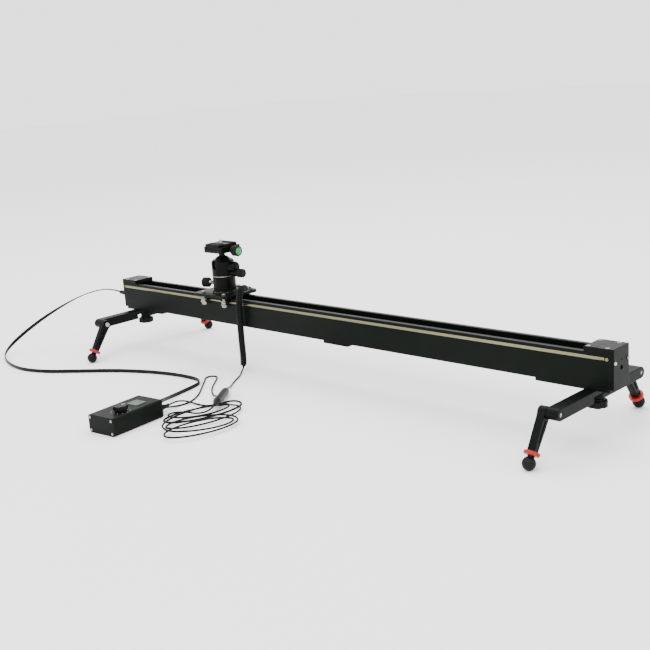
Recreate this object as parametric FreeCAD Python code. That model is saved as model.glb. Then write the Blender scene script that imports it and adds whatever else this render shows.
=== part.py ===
"""Motorised camera slider: rail on folding legs, carriage with ball head, hand controller and cables.

Millimetres. The origin is on the floor under the middle of the rail. +X runs along the rail,
-Y is the side with the controller and +Z is up.
"""
import FreeCAD, Part
import math
import os

from FreeCAD import Vector

os.makedirs("parts", exist_ok=True)

# ---------------------------------------------------------------- driving dimensions
RAIL_LENGTH = 1042.0
RAIL_WIDTH = 41.0
RAIL_BOTTOM_Z = 77.0
RAIL_HEIGHT = 46.5
RAIL_TOP_Z = RAIL_BOTTOM_Z + RAIL_HEIGHT
END_WALL = 6.0
CAP_LENGTH = 36.0
CAP_HEIGHT = 6.9
CHANNEL_WIDTH = 26.0
CHANNEL_FLOOR_Z = RAIL_BOTTOM_Z + 23.0
WEB = 2.5
CAVITY_WIDTH = 35.0
CAVITY_BOTTOM_Z = RAIL_BOTTOM_Z + 3.0
RAIL_END_X = RAIL_LENGTH / 2
EXTRUSION_END_X = RAIL_END_X - END_WALL

ROD_RADIUS = 2.5
ROD_Y = 19.9
ROD_Z = RAIL_BOTTOM_Z + 39.8
ROD_END_X = 508.9
ROD_SCREW_X = 512.0
ROD_SCREW_DEPTH = 6.0

SCREW_SLACK = 0.15
CAP_SCREW_RADIUS = 1.5
CAP_SCREW_HEAD = 1.6
CAP_SCREW_HEAD_RADIUS = 2.8
CAP_SCREW_PLACES = [(x, y) for x in (483.0, 510.0) for y in (-15.2, 15.2)]
WALL_SCREW_RADIUS = 1.5
WALL_SCREW_HEAD_RADIUS = 2.6
WALL_SCREW_Y = 16.7
WALL_SCREW_Z = 111.8
END_THREAD_Z = 103.0
TENSION_HOLE_Z = 113.6
TENSION_HOLE_RADIUS = 1.3
GLAND_Y = -10.0
GLAND_Z = 100.0
GLAND_NECK_RADIUS = 3.2
GLAND_REACH = 24.0

BASE_PLATE = 4.0
LEG_PLATE_LENGTH = 110.0
TRIPOD_PLATE_LENGTH = 54.0
TRIPOD_PLATE_X = 39.4
THREAD_SMALL_RADIUS = 3.175
THREAD_LARGE_RADIUS = 4.76
THREAD_SPACING = 16.0

PIVOT_X = 486.5
STUD_RADIUS = 3.0
RUNNING_GAP = 0.06
SIDE_GAP = 0.3
ARM_WIDTH = 18.0
ARM_BOTTOM_Z = 56.7
ARM_TOP_Z = RAIL_BOTTOM_Z - BASE_PLATE - SIDE_GAP
ARM_MID_Z = (ARM_BOTTOM_Z + ARM_TOP_Z) / 2
LAP_REACH = 24.0
LAP_RADIUS = 9.0
KNEE_Y = 103.0
KNEE_RADIUS = 8.0
KNEE_BOLT_RADIUS = 2.5
KNEE_HEAD_RADIUS = 4.2
SHIN_THICKNESS = 11.0
SHIN_TOP_WIDTH = 15.5
SHIN_FOOT_WIDTH = 10.6
BALL_FOOT_RADIUS = 9.0
FOOT_Y = 140.0
RING_RADIUS = 10.5
RING_THICKNESS = 5.0
RING_ABOVE_BALL = 10.2
STEM_RADIUS = 3.0
STEM_LENGTH = 51.0
SLOT_WIDTH = 2.8
SLOT_START = 12.0
SLOT_END = 38.0

LEAN = math.atan2(FOOT_Y - KNEE_Y, ARM_MID_Z - BALL_FOOT_RADIUS)
LEG_LENGTH = math.hypot(FOOT_Y - KNEE_Y, ARM_MID_Z - BALL_FOOT_RADIUS)
SHIN_LENGTH = LEG_LENGTH - RING_ABOVE_BALL - RING_THICKNESS - 0.15

KNOB_TOP_Z = ARM_BOTTOM_Z - SIDE_GAP
KNOB_BOTTOM_Z = 45.0
KNOB_RADIUS = 13.8

BELT_PITCH = 2.0
PULLEY_TEETH = 30
PULLEY_PITCH_RADIUS = PULLEY_TEETH * BELT_PITCH / (2 * math.pi)
PULLEY_RADIUS = PULLEY_PITCH_RADIUS - 0.25
BELT_INSIDE = PULLEY_PITCH_RADIUS + 0.05
BELT_THICKNESS = 1.4
BELT_BOTTOM_Z = 104.0
BELT_WIDTH = 9.0
PULLEY_X = 490.0
SHAFT_RADIUS = 2.5
MOTOR_RADIUS = 17.0

CARRIAGE_X = -240.0
PLATE_LENGTH = 88.0
PLATE_WIDTH = 76.0
PLATE_THICKNESS = 5.0
PLATE_TOP_Z = 130.0
PLATE_BOTTOM_Z = PLATE_TOP_Z - PLATE_THICKNESS
PLATE_CORNER = 8.0
ROLLER_SPACING_X = 27.0
ROLLER_Y = 27.5
ROLLER_RADIUS = 6.5
ROLLER_HEIGHT = 7.0
ROLLER_BOLT_RADIUS = 2.0

HEAD_RADIUS = 20.0
FLANGE_RADIUS = 23.0
BASE_TOP_Z = 137.0
HOUSING_TOP_Z = 186.0
BALL_RADIUS = 17.0
BALL_Z = 177.0
NECK_RADIUS = 5.5
BOSS_ANGLE = 8.0
BOSS_REACH = 33.0
BOSS_RADIUS = 10.0
BOSS_Z = 173.5
SEAT_RADIUS = 6.5
MAIN_KNOB_Z = 163.5
MAIN_KNOB_RADIUS = 7.7
MAIN_KNOB_LENGTH = 12.4
MAIN_SCREW_RADIUS = 2.0
PAN_KNOB_ANGLE = 200.0
PAN_KNOB_Z = 144.5
PAN_KNOB_START = 30.0
PAN_KNOB_RADIUS = 8.75
PAN_KNOB_LENGTH = 12.5
PAN_SCREW_RADIUS = 2.9

CLAMP_SIDE = 44.0
CLAMP_BOTTOM_Z = 200.5
CLAMP_FLOOR_Z = CLAMP_BOTTOM_Z + 6.0
JAW_TOP_Z = CLAMP_FLOOR_Z + 4.2
DOVETAIL_FOOT = 15.5
DOVETAIL_NECK = 13.0
CAMERA_PLATE_TOP_Z = JAW_TOP_Z + 4.3
CAMERA_PLATE_X = 38.0
CAMERA_PLATE_Y = 42.0
CLAMP_SCREW_Z = CLAMP_BOTTOM_Z + 3.0
JAW_TRAVEL = 3.0
CHEEK = 3.5
CAMERA_NECK_RADIUS = 2.4
CAMERA_THREAD_REACH = 5.5

CONTROLLER_CENTRE = Vector(-118.9, -315.8, 0)
CONTROLLER_TURN = 6.3
CONTROLLER_LENGTH = 97.9
CONTROLLER_WIDTH = 54.8
CONTROLLER_HEIGHT = 28.3
CONTROLLER_WALL = 2.0
CONTROLLER_CORNER = 4.0
CASE_SCREW_INSET = 4.4
DIAL_RADIUS = 11.5
DIAL_ALONG = -17.0
DIAL_ACROSS = 9.0
DIAL_SKIRT = 2.0
DIAL_TOP = 8.4
SOCKET_LENGTH = 12.0
BOOT_LENGTH = 10.0
PLUG_RADIUS = 3.6
FLAT_SOCKET = (-2.0, 15.0)
SHUTTER_SOCKET = (7.0, 5.2)
LOOP_SOCKET = (17.5, 12.0)

FLAT_CABLE_WIDTH = 6.6
LEAD_DIAMETER = 2.8
COIL_OUTER = 11.8
ARC_SHARE = 0.45
END_GAP = 0.7
CAMERA_PLUG_LENGTH = 20.0
JOINT_START = Vector(-105.0, -127.5, 7.0)
JOINT_END = Vector(-40.0, -211.0, 13.5)
JOINT_RADIUS = 6.4
JOINT_TIP_RADIUS = 1.9
JOINT_TAPER = 22.0
HANK_HEIGHT = 8.0
HANK_BAND = 23.0
HANK_RINGS = ((Vector(-54.0, -222.0, 0), 74.6, 80.0, 36.0), (Vector(0.0, -270.0, 0), 59.0, 68.0, 40.0))

UP = Vector(0, 0, 1)
ALONG = Vector(1, 0, 0)
ACROSS = Vector(0, 1, 0)
CORNERS = (("front_left", -1, -1), ("back_left", -1, 1), ("front_right", 1, -1), ("back_right", 1, 1))


# ---------------------------------------------------------------- small helpers
def save(name, *solids):
    """Write one node; several solids stay separate in a compound."""
    shape = solids[0] if len(solids) == 1 else Part.makeCompound(list(solids))
    shape.exportStep(f"parts/{name}.step")


def block(x1, x2, y1, y2, z1, z2):
    """Box between two corners."""
    return Part.makeBox(x2 - x1, y2 - y1, z2 - z1, Vector(x1, y1, z1))


def post(x, y, z1, z2, radius):
    """Upright cylinder."""
    return Part.makeCylinder(radius, z2 - z1, Vector(x, y, z1), UP)


def bar(start, direction, length, radius):
    """Cylinder from a point along any direction."""
    return Part.makeCylinder(radius, length, start, direction)


def upright_edges(shape):
    """Edges that run straight up."""
    return [e for e in shape.Edges if abs(e.Vertexes[0].Z - e.Vertexes[-1].Z) > 0.9 * e.Length > 0]


def mirrored(shape, side_x, side_y):
    """Copy a part made for the +X, -Y corner to another corner."""
    placed = shape.copy()
    if side_x < 0:
        placed = placed.mirror(Vector(0, 0, 0), ALONG)
    if side_y > 0:
        placed = placed.mirror(Vector(0, 0, 0), ACROSS)
    return placed


def hexagon(x, y, z1, z2, across_flats):
    """Hexagonal prism standing on z1."""
    corner = across_flats / math.sqrt(3)
    angles = [math.radians(60 * i) for i in range(7)]
    ring = [Vector(x + corner * math.cos(a), y + corner * math.sin(a), z1) for a in angles]
    return Part.Face(Part.makePolygon(ring)).extrude(UP * (z2 - z1))


def lobed(radius, z1, z2, lobes, notch):
    """Grip knob about Z: a disc with a ring of round notches and broken edges."""
    body = post(0, 0, z1, z2, radius)
    body = body.makeChamfer(0.9, body.Edges[:1] + body.Edges[2:])
    reach = radius + notch * 0.45
    for i in range(lobes):
        angle = 2 * math.pi * (i + 0.5) / lobes
        body = body.cut(post(reach * math.cos(angle), reach * math.sin(angle), z1, z2, notch))
    return body


def turned(shape, angle, axis=UP, centre=Vector(0, 0, 0)):
    """Rotated copy, degrees."""
    copy = shape.copy()
    copy.rotate(centre, axis, angle)
    return copy


def moved(shape, x, y, z=0.0):
    """Shifted copy."""
    copy = shape.copy()
    copy.translate(Vector(x, y, z))
    return copy


# ---------------------------------------------------------------- rail
def rail_extrusion():
    """Black box extrusion: open belt channel on top, motor cavity below, rod grooves outside."""
    half = RAIL_WIDTH / 2
    end = EXTRUSION_END_X
    body = block(-end, end, -half, half, RAIL_BOTTOM_Z, RAIL_TOP_Z)
    long_edges = [e for e in body.Edges if e.Length > end]
    body = body.makeFillet(0.8, long_edges)
    body = body.cut(block(-end, end, -CHANNEL_WIDTH / 2, CHANNEL_WIDTH / 2, CHANNEL_FLOOR_Z, RAIL_TOP_Z))
    cavity_half = CAVITY_WIDTH / 2
    body = body.cut(block(-end, end, -cavity_half, cavity_half, CAVITY_BOTTOM_Z, CHANNEL_FLOOR_Z - WEB))
    for side in (-1, 1):
        body = body.cut(bar(Vector(-end, side * ROD_Y, ROD_Z), ALONG, 2 * end, ROD_RADIUS))
        body = body.cut(post(side * PULLEY_X, 0, CHANNEL_FLOOR_Z - WEB, CHANNEL_FLOOR_Z, SHAFT_RADIUS + 0.5))
        for end_side in (-1, 1):
            mouth = Vector(end_side * ROD_SCREW_X, side * half, ROD_Z)
            body = body.cut(bar(mouth, -ACROSS * side, ROD_SCREW_DEPTH, WALL_SCREW_RADIUS + SCREW_SLACK))
    return body


def guide_rod(side):
    """Steel rod half sunk in its groove, with small chamfers at both ends."""
    rod = bar(Vector(-ROD_END_X, side * ROD_Y, ROD_Z), ALONG, 2 * ROD_END_X, ROD_RADIUS)
    return rod.makeChamfer(0.5, [e for e in rod.Edges if e.Length < 20])


def end_block(side):
    """Machined end: a full-height wall with a raised cap over the end of the channel."""
    half = RAIL_WIDTH / 2
    top = RAIL_TOP_Z + CAP_HEIGHT
    wall = block(EXTRUSION_END_X, RAIL_END_X, -half, half, RAIL_BOTTOM_Z, top)
    cap = block(EXTRUSION_END_X - CAP_LENGTH, EXTRUSION_END_X, -half, half, RAIL_TOP_Z, top)
    body = wall.fuse(cap).removeSplitter()
    outer = [e for e in upright_edges(body)
             if e.CenterOfMass.x > EXTRUSION_END_X + 1 and e.Length > RAIL_HEIGHT]
    body = body.makeFillet(1.6, outer)
    rim = [e for e in body.Edges if abs(e.CenterOfMass.z - top) < 0.01]
    body = body.makeFillet(0.7, rim)
    for x, y in CAP_SCREW_PLACES:
        body = body.cut(post(x, y, RAIL_TOP_Z, top, CAP_SCREW_RADIUS + SCREW_SLACK))
        body = body.cut(post(x, y, top - CAP_SCREW_HEAD, top, CAP_SCREW_HEAD_RADIUS + 0.2))
    for y in (-WALL_SCREW_Y, WALL_SCREW_Y):
        start = Vector(EXTRUSION_END_X, y, WALL_SCREW_Z)
        body = body.cut(bar(start, ALONG, END_WALL, WALL_SCREW_RADIUS + SCREW_SLACK))
    if side > 0:
        body = body.cut(bar(Vector(EXTRUSION_END_X, 0, END_THREAD_Z), ALONG, END_WALL, THREAD_SMALL_RADIUS))
        start = Vector(EXTRUSION_END_X, 0, TENSION_HOLE_Z)
        return body.cut(bar(start, ALONG, END_WALL, TENSION_HOLE_RADIUS))
    start = Vector(EXTRUSION_END_X, -GLAND_Y, GLAND_Z)
    body = body.cut(bar(start, ALONG, END_WALL, GLAND_NECK_RADIUS + SCREW_SLACK))
    return body.mirror(Vector(0, 0, 0), ALONG).mirror(Vector(0, 0, 0), ACROSS)


def cap_screw(x, y, head_top):
    """Socket screw standing in the cap with its head sunk level."""
    head = post(x, y, head_top - CAP_SCREW_HEAD, head_top, CAP_SCREW_HEAD_RADIUS)
    shank = post(x, y, RAIL_TOP_Z, head_top - CAP_SCREW_HEAD, CAP_SCREW_RADIUS)
    socket = hexagon(x, y, head_top - 1.0, head_top, 2.0)
    return head.fuse(shank).cut(socket)


def button_screw(centre, outward, head_radius, head_height, shank_radius, shank_length):
    """Domed screw whose head rests on a face; outward points away from that face."""
    shank = bar(centre - outward * shank_length, outward, shank_length, shank_radius)
    head = bar(centre, outward, head_height, head_radius)
    rim = [e for e in head.Edges if (e.CenterOfMass - centre).dot(outward) > head_height * 0.9]
    head = head.makeFillet(head_height * 0.6, rim)
    return head.fuse(shank)


def case_screws():
    """All screws that stay put: end blocks, rod ends, base plates, idler and controller ends."""
    top = RAIL_TOP_Z + CAP_HEIGHT
    screws = []
    for side in (-1, 1):
        for x, y in CAP_SCREW_PLACES:
            screws.append(cap_screw(side * x, y, top))
        for y in (-WALL_SCREW_Y, WALL_SCREW_Y):
            face = Vector(side * RAIL_END_X, y, WALL_SCREW_Z)
            screws.append(button_screw(face, ALONG * side, WALL_SCREW_HEAD_RADIUS, 1.8,
                                       WALL_SCREW_RADIUS, END_WALL - 0.5))
        for y_side in (-1, 1):
            face = Vector(side * ROD_SCREW_X, y_side * RAIL_WIDTH / 2, ROD_Z)
            screws.append(button_screw(face, ACROSS * y_side, WALL_SCREW_HEAD_RADIUS, 1.4,
                                       WALL_SCREW_RADIUS, ROD_SCREW_DEPTH - 0.5))
    idler_bolt = post(PULLEY_X, 0, CHANNEL_FLOOR_Z, 116.3, SHAFT_RADIUS)
    screws.append(idler_bolt.fuse(post(PULLEY_X, 0, 116.3, 118.3, 4.5)))
    for along in (-1, 1):
        for across in (-1, 1):
            for z in (CASE_SCREW_INSET, CONTROLLER_HEIGHT - CASE_SCREW_INSET):
                x = across * (CONTROLLER_WIDTH / 2 - CASE_SCREW_INSET)
                local = Vector(x, along * CONTROLLER_LENGTH / 2, z)
                screw = button_screw(local, ACROSS * along, 2.3, 1.2, 1.2, CONTROLLER_WALL - 0.2)
                screws.append(on_controller(screw))
    return screws


def leg_plate(side):
    """Plate under one end of the rail with the leg pivot stud pressed into it."""
    half = RAIL_WIDTH / 2
    plate = block(EXTRUSION_END_X - LEG_PLATE_LENGTH, EXTRUSION_END_X, -half, half,
                  RAIL_BOTTOM_Z - BASE_PLATE, RAIL_BOTTOM_Z)
    plate = plate.makeFillet(2.5, upright_edges(plate))
    stud = post(PIVOT_X, 0, KNOB_BOTTOM_Z + 1.5, RAIL_BOTTOM_Z - BASE_PLATE, STUD_RADIUS)
    return mirrored(plate.fuse(stud), side, -1)


def tripod_plate():
    """Middle plate with the two tripod threads."""
    half = RAIL_WIDTH / 2
    x1 = TRIPOD_PLATE_X - TRIPOD_PLATE_LENGTH / 2
    plate = block(x1, x1 + TRIPOD_PLATE_LENGTH, -half, half, RAIL_BOTTOM_Z - BASE_PLATE, RAIL_BOTTOM_Z)
    plate = plate.makeFillet(2.5, upright_edges(plate))
    plate = plate.cut(post(TRIPOD_PLATE_X, 0, RAIL_BOTTOM_Z - BASE_PLATE, RAIL_BOTTOM_Z, THREAD_LARGE_RADIUS))
    small_x = TRIPOD_PLATE_X + THREAD_SPACING
    return plate.cut(post(small_x, 0, RAIL_BOTTOM_Z - BASE_PLATE, RAIL_BOTTOM_Z, THREAD_SMALL_RADIUS))


# ---------------------------------------------------------------- drive inside the rail
def stadium(radius, z1, z2):
    """Upright slab round both pulleys."""
    middle = block(-PULLEY_X, PULLEY_X, -radius, radius, z1, z2)
    return middle.fuse(post(-PULLEY_X, 0, z1, z2, radius)).fuse(post(PULLEY_X, 0, z1, z2, radius))


def timing_belt():
    """Closed toothed belt lying on edge round the two pulleys."""
    top = BELT_BOTTOM_Z + BELT_WIDTH
    outer = stadium(BELT_INSIDE + BELT_THICKNESS, BELT_BOTTOM_Z, top)
    return outer.cut(stadium(BELT_INSIDE, BELT_BOTTOM_Z, top)).removeSplitter()


def pulley(x, bore):
    """Flanged pulley with thirty tooth grooves."""
    z1 = BELT_BOTTOM_Z - SIDE_GAP
    z2 = BELT_BOTTOM_Z + BELT_WIDTH + SIDE_GAP
    body = post(x, 0, z1, z2, PULLEY_RADIUS)
    for i in range(PULLEY_TEETH):
        angle = 2 * math.pi * i / PULLEY_TEETH
        groove_x = x + PULLEY_RADIUS * math.cos(angle)
        body = body.cut(post(groove_x, PULLEY_RADIUS * math.sin(angle), z1, z2, 0.5))
    for z in (z1 - 1.0, z2):
        body = body.fuse(post(x, 0, z, z + 1.0, PULLEY_RADIUS + 2.7))
    return body.cut(post(x, 0, z1 - 1.0, z2 + 1.0, bore))


def gear_motor():
    """Flat gear motor in the lower cavity under the drive pulley."""
    z1 = CAVITY_BOTTOM_Z + 0.2
    can = post(-PULLEY_X, 0, z1, z1 + 12.0, MOTOR_RADIUS)
    can = can.makeFillet(1.0, can.Edges[:1])
    box = post(-PULLEY_X, 0, z1 + 12.0, CHANNEL_FLOOR_Z - WEB - 0.3, MOTOR_RADIUS - 1.5)
    lug = block(-PULLEY_X + MOTOR_RADIUS - 4, -PULLEY_X + MOTOR_RADIUS + 4, -4, 4, z1 + 2, z1 + 7)
    shaft_well = post(-PULLEY_X, 0, z1 + 13.0, CHANNEL_FLOOR_Z, SHAFT_RADIUS + RUNNING_GAP)
    return can.fuse(box).fuse(lug).cut(shaft_well)


def drive_shaft():
    """Motor output shaft, turning with the drive pulley."""
    return post(-PULLEY_X, 0, CAVITY_BOTTOM_Z + 14.0, BELT_BOTTOM_Z + BELT_WIDTH, SHAFT_RADIUS)


def cable_gland():
    """Tapered strain relief of the motor cable in the left end wall."""
    start = Vector(-RAIL_END_X, GLAND_Y, GLAND_Z)
    flange = bar(start, -ALONG, 2.5, 5.2)
    neck = bar(start + ALONG * END_WALL, -ALONG, END_WALL, GLAND_NECK_RADIUS)
    taper = Part.makeCone(4.6, 3.7, GLAND_REACH - 2.5, start - ALONG * 2.5, -ALONG)
    return flange.fuse(neck).fuse(taper)


# ---------------------------------------------------------------- legs, made for the +X, -Y corner
SHIN_X1 = PIVOT_X - ARM_WIDTH / 2 - SIDE_GAP - SHIN_THICKNESS
SHIN_X2 = PIVOT_X - ARM_WIDTH / 2 - SIDE_GAP
SHIN_X = (SHIN_X1 + SHIN_X2) / 2
KNEE = Vector(SHIN_X, -KNEE_Y, ARM_MID_Z)


def leg_arm(upper_lap):
    """Flat arm: half-lap on the pivot stud at one end, rounded knuckle at the other."""
    x1 = PIVOT_X - ARM_WIDTH / 2
    x2 = PIVOT_X + ARM_WIDTH / 2
    arm = block(x1, x2, -KNEE_Y, -LAP_REACH, ARM_BOTTOM_Z, ARM_TOP_Z)
    arm = arm.fuse(bar(Vector(x1, -KNEE_Y, ARM_MID_Z), ALONG, ARM_WIDTH, KNEE_RADIUS))
    lap_z1 = ARM_MID_Z + 0.1 if upper_lap else ARM_BOTTOM_Z
    lap_z2 = ARM_TOP_Z if upper_lap else ARM_MID_Z - 0.1
    lap = block(x1, x2, -LAP_REACH, 0, lap_z1, lap_z2)
    lap = lap.fuse(post(PIVOT_X, 0, lap_z1, lap_z2, LAP_RADIUS))
    arm = arm.fuse(lap).removeSplitter()
    arm = arm.cut(post(PIVOT_X, 0, lap_z1, lap_z2, STUD_RADIUS + RUNNING_GAP))
    arm = arm.cut(bar(Vector(x1, -KNEE_Y, ARM_MID_Z), ALONG, ARM_WIDTH, KNEE_BOLT_RADIUS + SCREW_SLACK))
    rims = [e for e in arm.Edges
            if e.Length > 20 and abs(abs(e.CenterOfMass.x - PIVOT_X) - ARM_WIDTH / 2) < 0.01]
    return arm.makeChamfer(0.8, rims)


def knee_bolt():
    """Pivot bolt screwed into the arm, with its head on the lower leg's side."""
    head_x = SHIN_X1 - 0.2
    start = Vector(head_x, -KNEE_Y, ARM_MID_Z)
    shank = bar(start, ALONG, PIVOT_X + ARM_WIDTH / 2 - 0.3 - head_x, KNEE_BOLT_RADIUS)
    head = bar(start, -ALONG, 2.6, KNEE_HEAD_RADIUS)
    rim = [e for e in head.Edges if e.CenterOfMass.x < head_x - 2]
    return head.makeFillet(1.2, rim).fuse(shank)


def leaned(shape):
    """Swing a leg piece, made hanging straight down, out to its standing angle."""
    return turned(shape, -math.degrees(LEAN), ALONG, KNEE)


def lower_leg():
    """Tapered lower leg: round head on the knee bolt, slotted, bored for the foot's stem."""
    top = SHIN_TOP_WIDTH / 2
    low = SHIN_FOOT_WIDTH / 2
    corners = ((-top, 3.0), (top, 3.0), (low, SHIN_LENGTH), (-low, SHIN_LENGTH))
    outline = [Vector(SHIN_X1, -KNEE_Y + across, ARM_MID_Z - drop) for across, drop in corners]
    leg = Part.Face(Part.makePolygon(outline + outline[:1])).extrude(ALONG * SHIN_THICKNESS)
    leg = leg.makeFillet(1.5, [e for e in leg.Edges if e.Length > 40])
    leg = leg.fuse(bar(Vector(SHIN_X1, -KNEE_Y, ARM_MID_Z), ALONG, SHIN_THICKNESS, KNEE_RADIUS))
    shin_end = ARM_MID_Z - SHIN_LENGTH
    leg = leg.cut(post(SHIN_X, -KNEE_Y, shin_end, shin_end + SHIN_LENGTH - 13.0, STEM_RADIUS + 0.1))
    slot = block(SHIN_X1, SHIN_X2, -KNEE_Y - SLOT_WIDTH / 2, -KNEE_Y + SLOT_WIDTH / 2,
                 ARM_MID_Z - SLOT_END, ARM_MID_Z - SLOT_START)
    for drop in (SLOT_START, SLOT_END):
        start = Vector(SHIN_X1, -KNEE_Y, ARM_MID_Z - drop)
        slot = slot.fuse(bar(start, ALONG, SHIN_THICKNESS, SLOT_WIDTH / 2))
    start = Vector(SHIN_X1, -KNEE_Y, ARM_MID_Z)
    bolt_hole = bar(start, ALONG, SHIN_THICKNESS, KNEE_BOLT_RADIUS + RUNNING_GAP)
    return leaned(leg.cut(slot).cut(bolt_hole))


def lock_ring():
    """Red ring nut on the stem under the lower leg, with a scalloped rim."""
    top = ARM_MID_Z - LEG_LENGTH + RING_ABOVE_BALL + RING_THICKNESS
    ring = moved(lobed(RING_RADIUS, top - RING_THICKNESS, top, 12, 1.6), SHIN_X, -KNEE_Y)
    return leaned(ring.cut(post(SHIN_X, -KNEE_Y, top - RING_THICKNESS, top, STEM_RADIUS + RUNNING_GAP)))


def foot():
    """Rubber ball moulded on a threaded steel stem."""
    centre_z = ARM_MID_Z - LEG_LENGTH
    neck_top = centre_z + RING_ABOVE_BALL - 0.3
    ball = Part.makeSphere(BALL_FOOT_RADIUS, Vector(SHIN_X, -KNEE_Y, centre_z))
    ball = ball.fuse(post(SHIN_X, -KNEE_Y, centre_z, neck_top, 4.6))
    ball = ball.cut(post(SHIN_X, -KNEE_Y, centre_z, neck_top, STEM_RADIUS + 0.05))
    stem = post(SHIN_X, -KNEE_Y, centre_z, centre_z + STEM_LENGTH, STEM_RADIUS)
    return [leaned(ball), leaned(stem)]


def leg_knob(side):
    """Lobed knob that clamps both arms of one end from below."""
    grip = lobed(KNOB_RADIUS, KNOB_BOTTOM_Z, KNOB_TOP_Z - 2.4, 6, 4.4)
    collar = post(0, 0, KNOB_TOP_Z - 2.4, KNOB_TOP_Z, 9.6)
    bore = post(0, 0, KNOB_BOTTOM_Z + 1.3, KNOB_TOP_Z, STUD_RADIUS + RUNNING_GAP)
    return moved(grip.fuse(collar).cut(bore), side * PIVOT_X, 0)


def save_leg(name, side_x, side_y):
    """Write the four nodes of one leg."""
    save(f"leg_arm_{name}", *[mirrored(s, side_x, side_y) for s in (leg_arm(side_y < 0), knee_bolt())])
    save(f"lower_leg_{name}", mirrored(lower_leg(), side_x, side_y))
    save(f"lock_ring_{name}", mirrored(lock_ring(), side_x, side_y))
    save(f"foot_{name}", *[mirrored(s, side_x, side_y) for s in foot()])


# ---------------------------------------------------------------- carriage
def carriage_plate():
    """Plate over the rail with a tongue that hangs into the channel and grips the belt."""
    half_x = PLATE_LENGTH / 2
    half_y = PLATE_WIDTH / 2
    plate = block(CARRIAGE_X - half_x, CARRIAGE_X + half_x, -half_y, half_y, PLATE_BOTTOM_Z, PLATE_TOP_Z)
    plate = plate.makeFillet(PLATE_CORNER, upright_edges(plate))
    rims = [e for e in plate.Edges if abs(e.CenterOfMass.z - PLATE_TOP_Z) < 0.01]
    plate = plate.makeChamfer(0.6, rims)
    tongue = block(CARRIAGE_X - 14, CARRIAGE_X + 14, -12.5, -6.0, BELT_BOTTOM_Z - 1.5, PLATE_BOTTOM_Z)
    slot_y = -BELT_INSIDE - BELT_THICKNESS - SIDE_GAP
    belt_slot = block(CARRIAGE_X - 14, CARRIAGE_X + 14, slot_y, SIDE_GAP - BELT_INSIDE,
                      BELT_BOTTOM_Z - 1.5, BELT_BOTTOM_Z + BELT_WIDTH + 0.4)
    plate = plate.fuse(tongue.cut(belt_slot)).removeSplitter()
    for x, y in roller_places():
        plate = plate.cut(post(x, y, PLATE_BOTTOM_Z, PLATE_TOP_Z, ROLLER_BOLT_RADIUS + SCREW_SLACK))
    return plate


def roller_places():
    """Upright axes of the four rollers: front left, front right, back left, back right."""
    return [(CARRIAGE_X + sx * ROLLER_SPACING_X, sy * ROLLER_Y) for sy in (-1, 1) for sx in (-1, 1)]


def roller_bolt(x, y):
    """Socket bolt down through the plate, spacer and roller into a hexagon nut."""
    roller_top = ROD_Z + ROLLER_HEIGHT / 2
    roller_bottom = ROD_Z - ROLLER_HEIGHT / 2
    nut_top = roller_bottom - SIDE_GAP
    head = post(x, y, PLATE_TOP_Z, PLATE_TOP_Z + 2.4, 3.5)
    head = head.makeChamfer(0.4, [head.Edges[0]])
    head = head.cut(hexagon(x, y, PLATE_TOP_Z + 1.0, PLATE_TOP_Z + 2.4, 2.5))
    shank = post(x, y, nut_top - 5.2, PLATE_TOP_Z, ROLLER_BOLT_RADIUS)
    spacer = post(x, y, roller_top + SIDE_GAP, PLATE_BOTTOM_Z, 3.2)
    nut = hexagon(x, y, nut_top - 4.4, nut_top, 8.0)
    return head.fuse(shank).fuse(spacer).fuse(nut)


def roller(x, y):
    """Grooved steel ball-bearing roller that runs on the guide rod."""
    body = post(x, y, ROD_Z - ROLLER_HEIGHT / 2, ROD_Z + ROLLER_HEIGHT / 2, ROLLER_RADIUS)
    groove = Part.makeTorus(ROLLER_Y - ROD_Y, ROD_RADIUS + 0.1, Vector(x, y, ROD_Z), UP)
    bore = post(x, y, ROD_Z - ROLLER_HEIGHT / 2, ROD_Z + ROLLER_HEIGHT / 2, ROLLER_BOLT_RADIUS + RUNNING_GAP)
    return body.cut(groove).cut(bore)


# ---------------------------------------------------------------- ball head
def radial(angle):
    """Level unit vector at an angle from +X."""
    return Vector(math.cos(math.radians(angle)), math.sin(math.radians(angle)), 0)


def head_point(angle, reach, z):
    """Point at a distance from the head's axis."""
    return Vector(CARRIAGE_X, 0, z) + radial(angle) * reach


def head_base():
    """Flanged foot of the ball head with the pivot pin for panning."""
    flange = post(CARRIAGE_X, 0, PLATE_TOP_Z, PLATE_TOP_Z + 3.4, FLANGE_RADIUS)
    flange = flange.makeChamfer(0.8, [flange.Edges[0]])
    drum = post(CARRIAGE_X, 0, PLATE_TOP_Z + 3.4, BASE_TOP_Z, HEAD_RADIUS)
    pin = post(CARRIAGE_X, 0, BASE_TOP_Z, BASE_TOP_Z + 8.0, 8.0)
    return flange.fuse(drum).fuse(pin)


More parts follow.
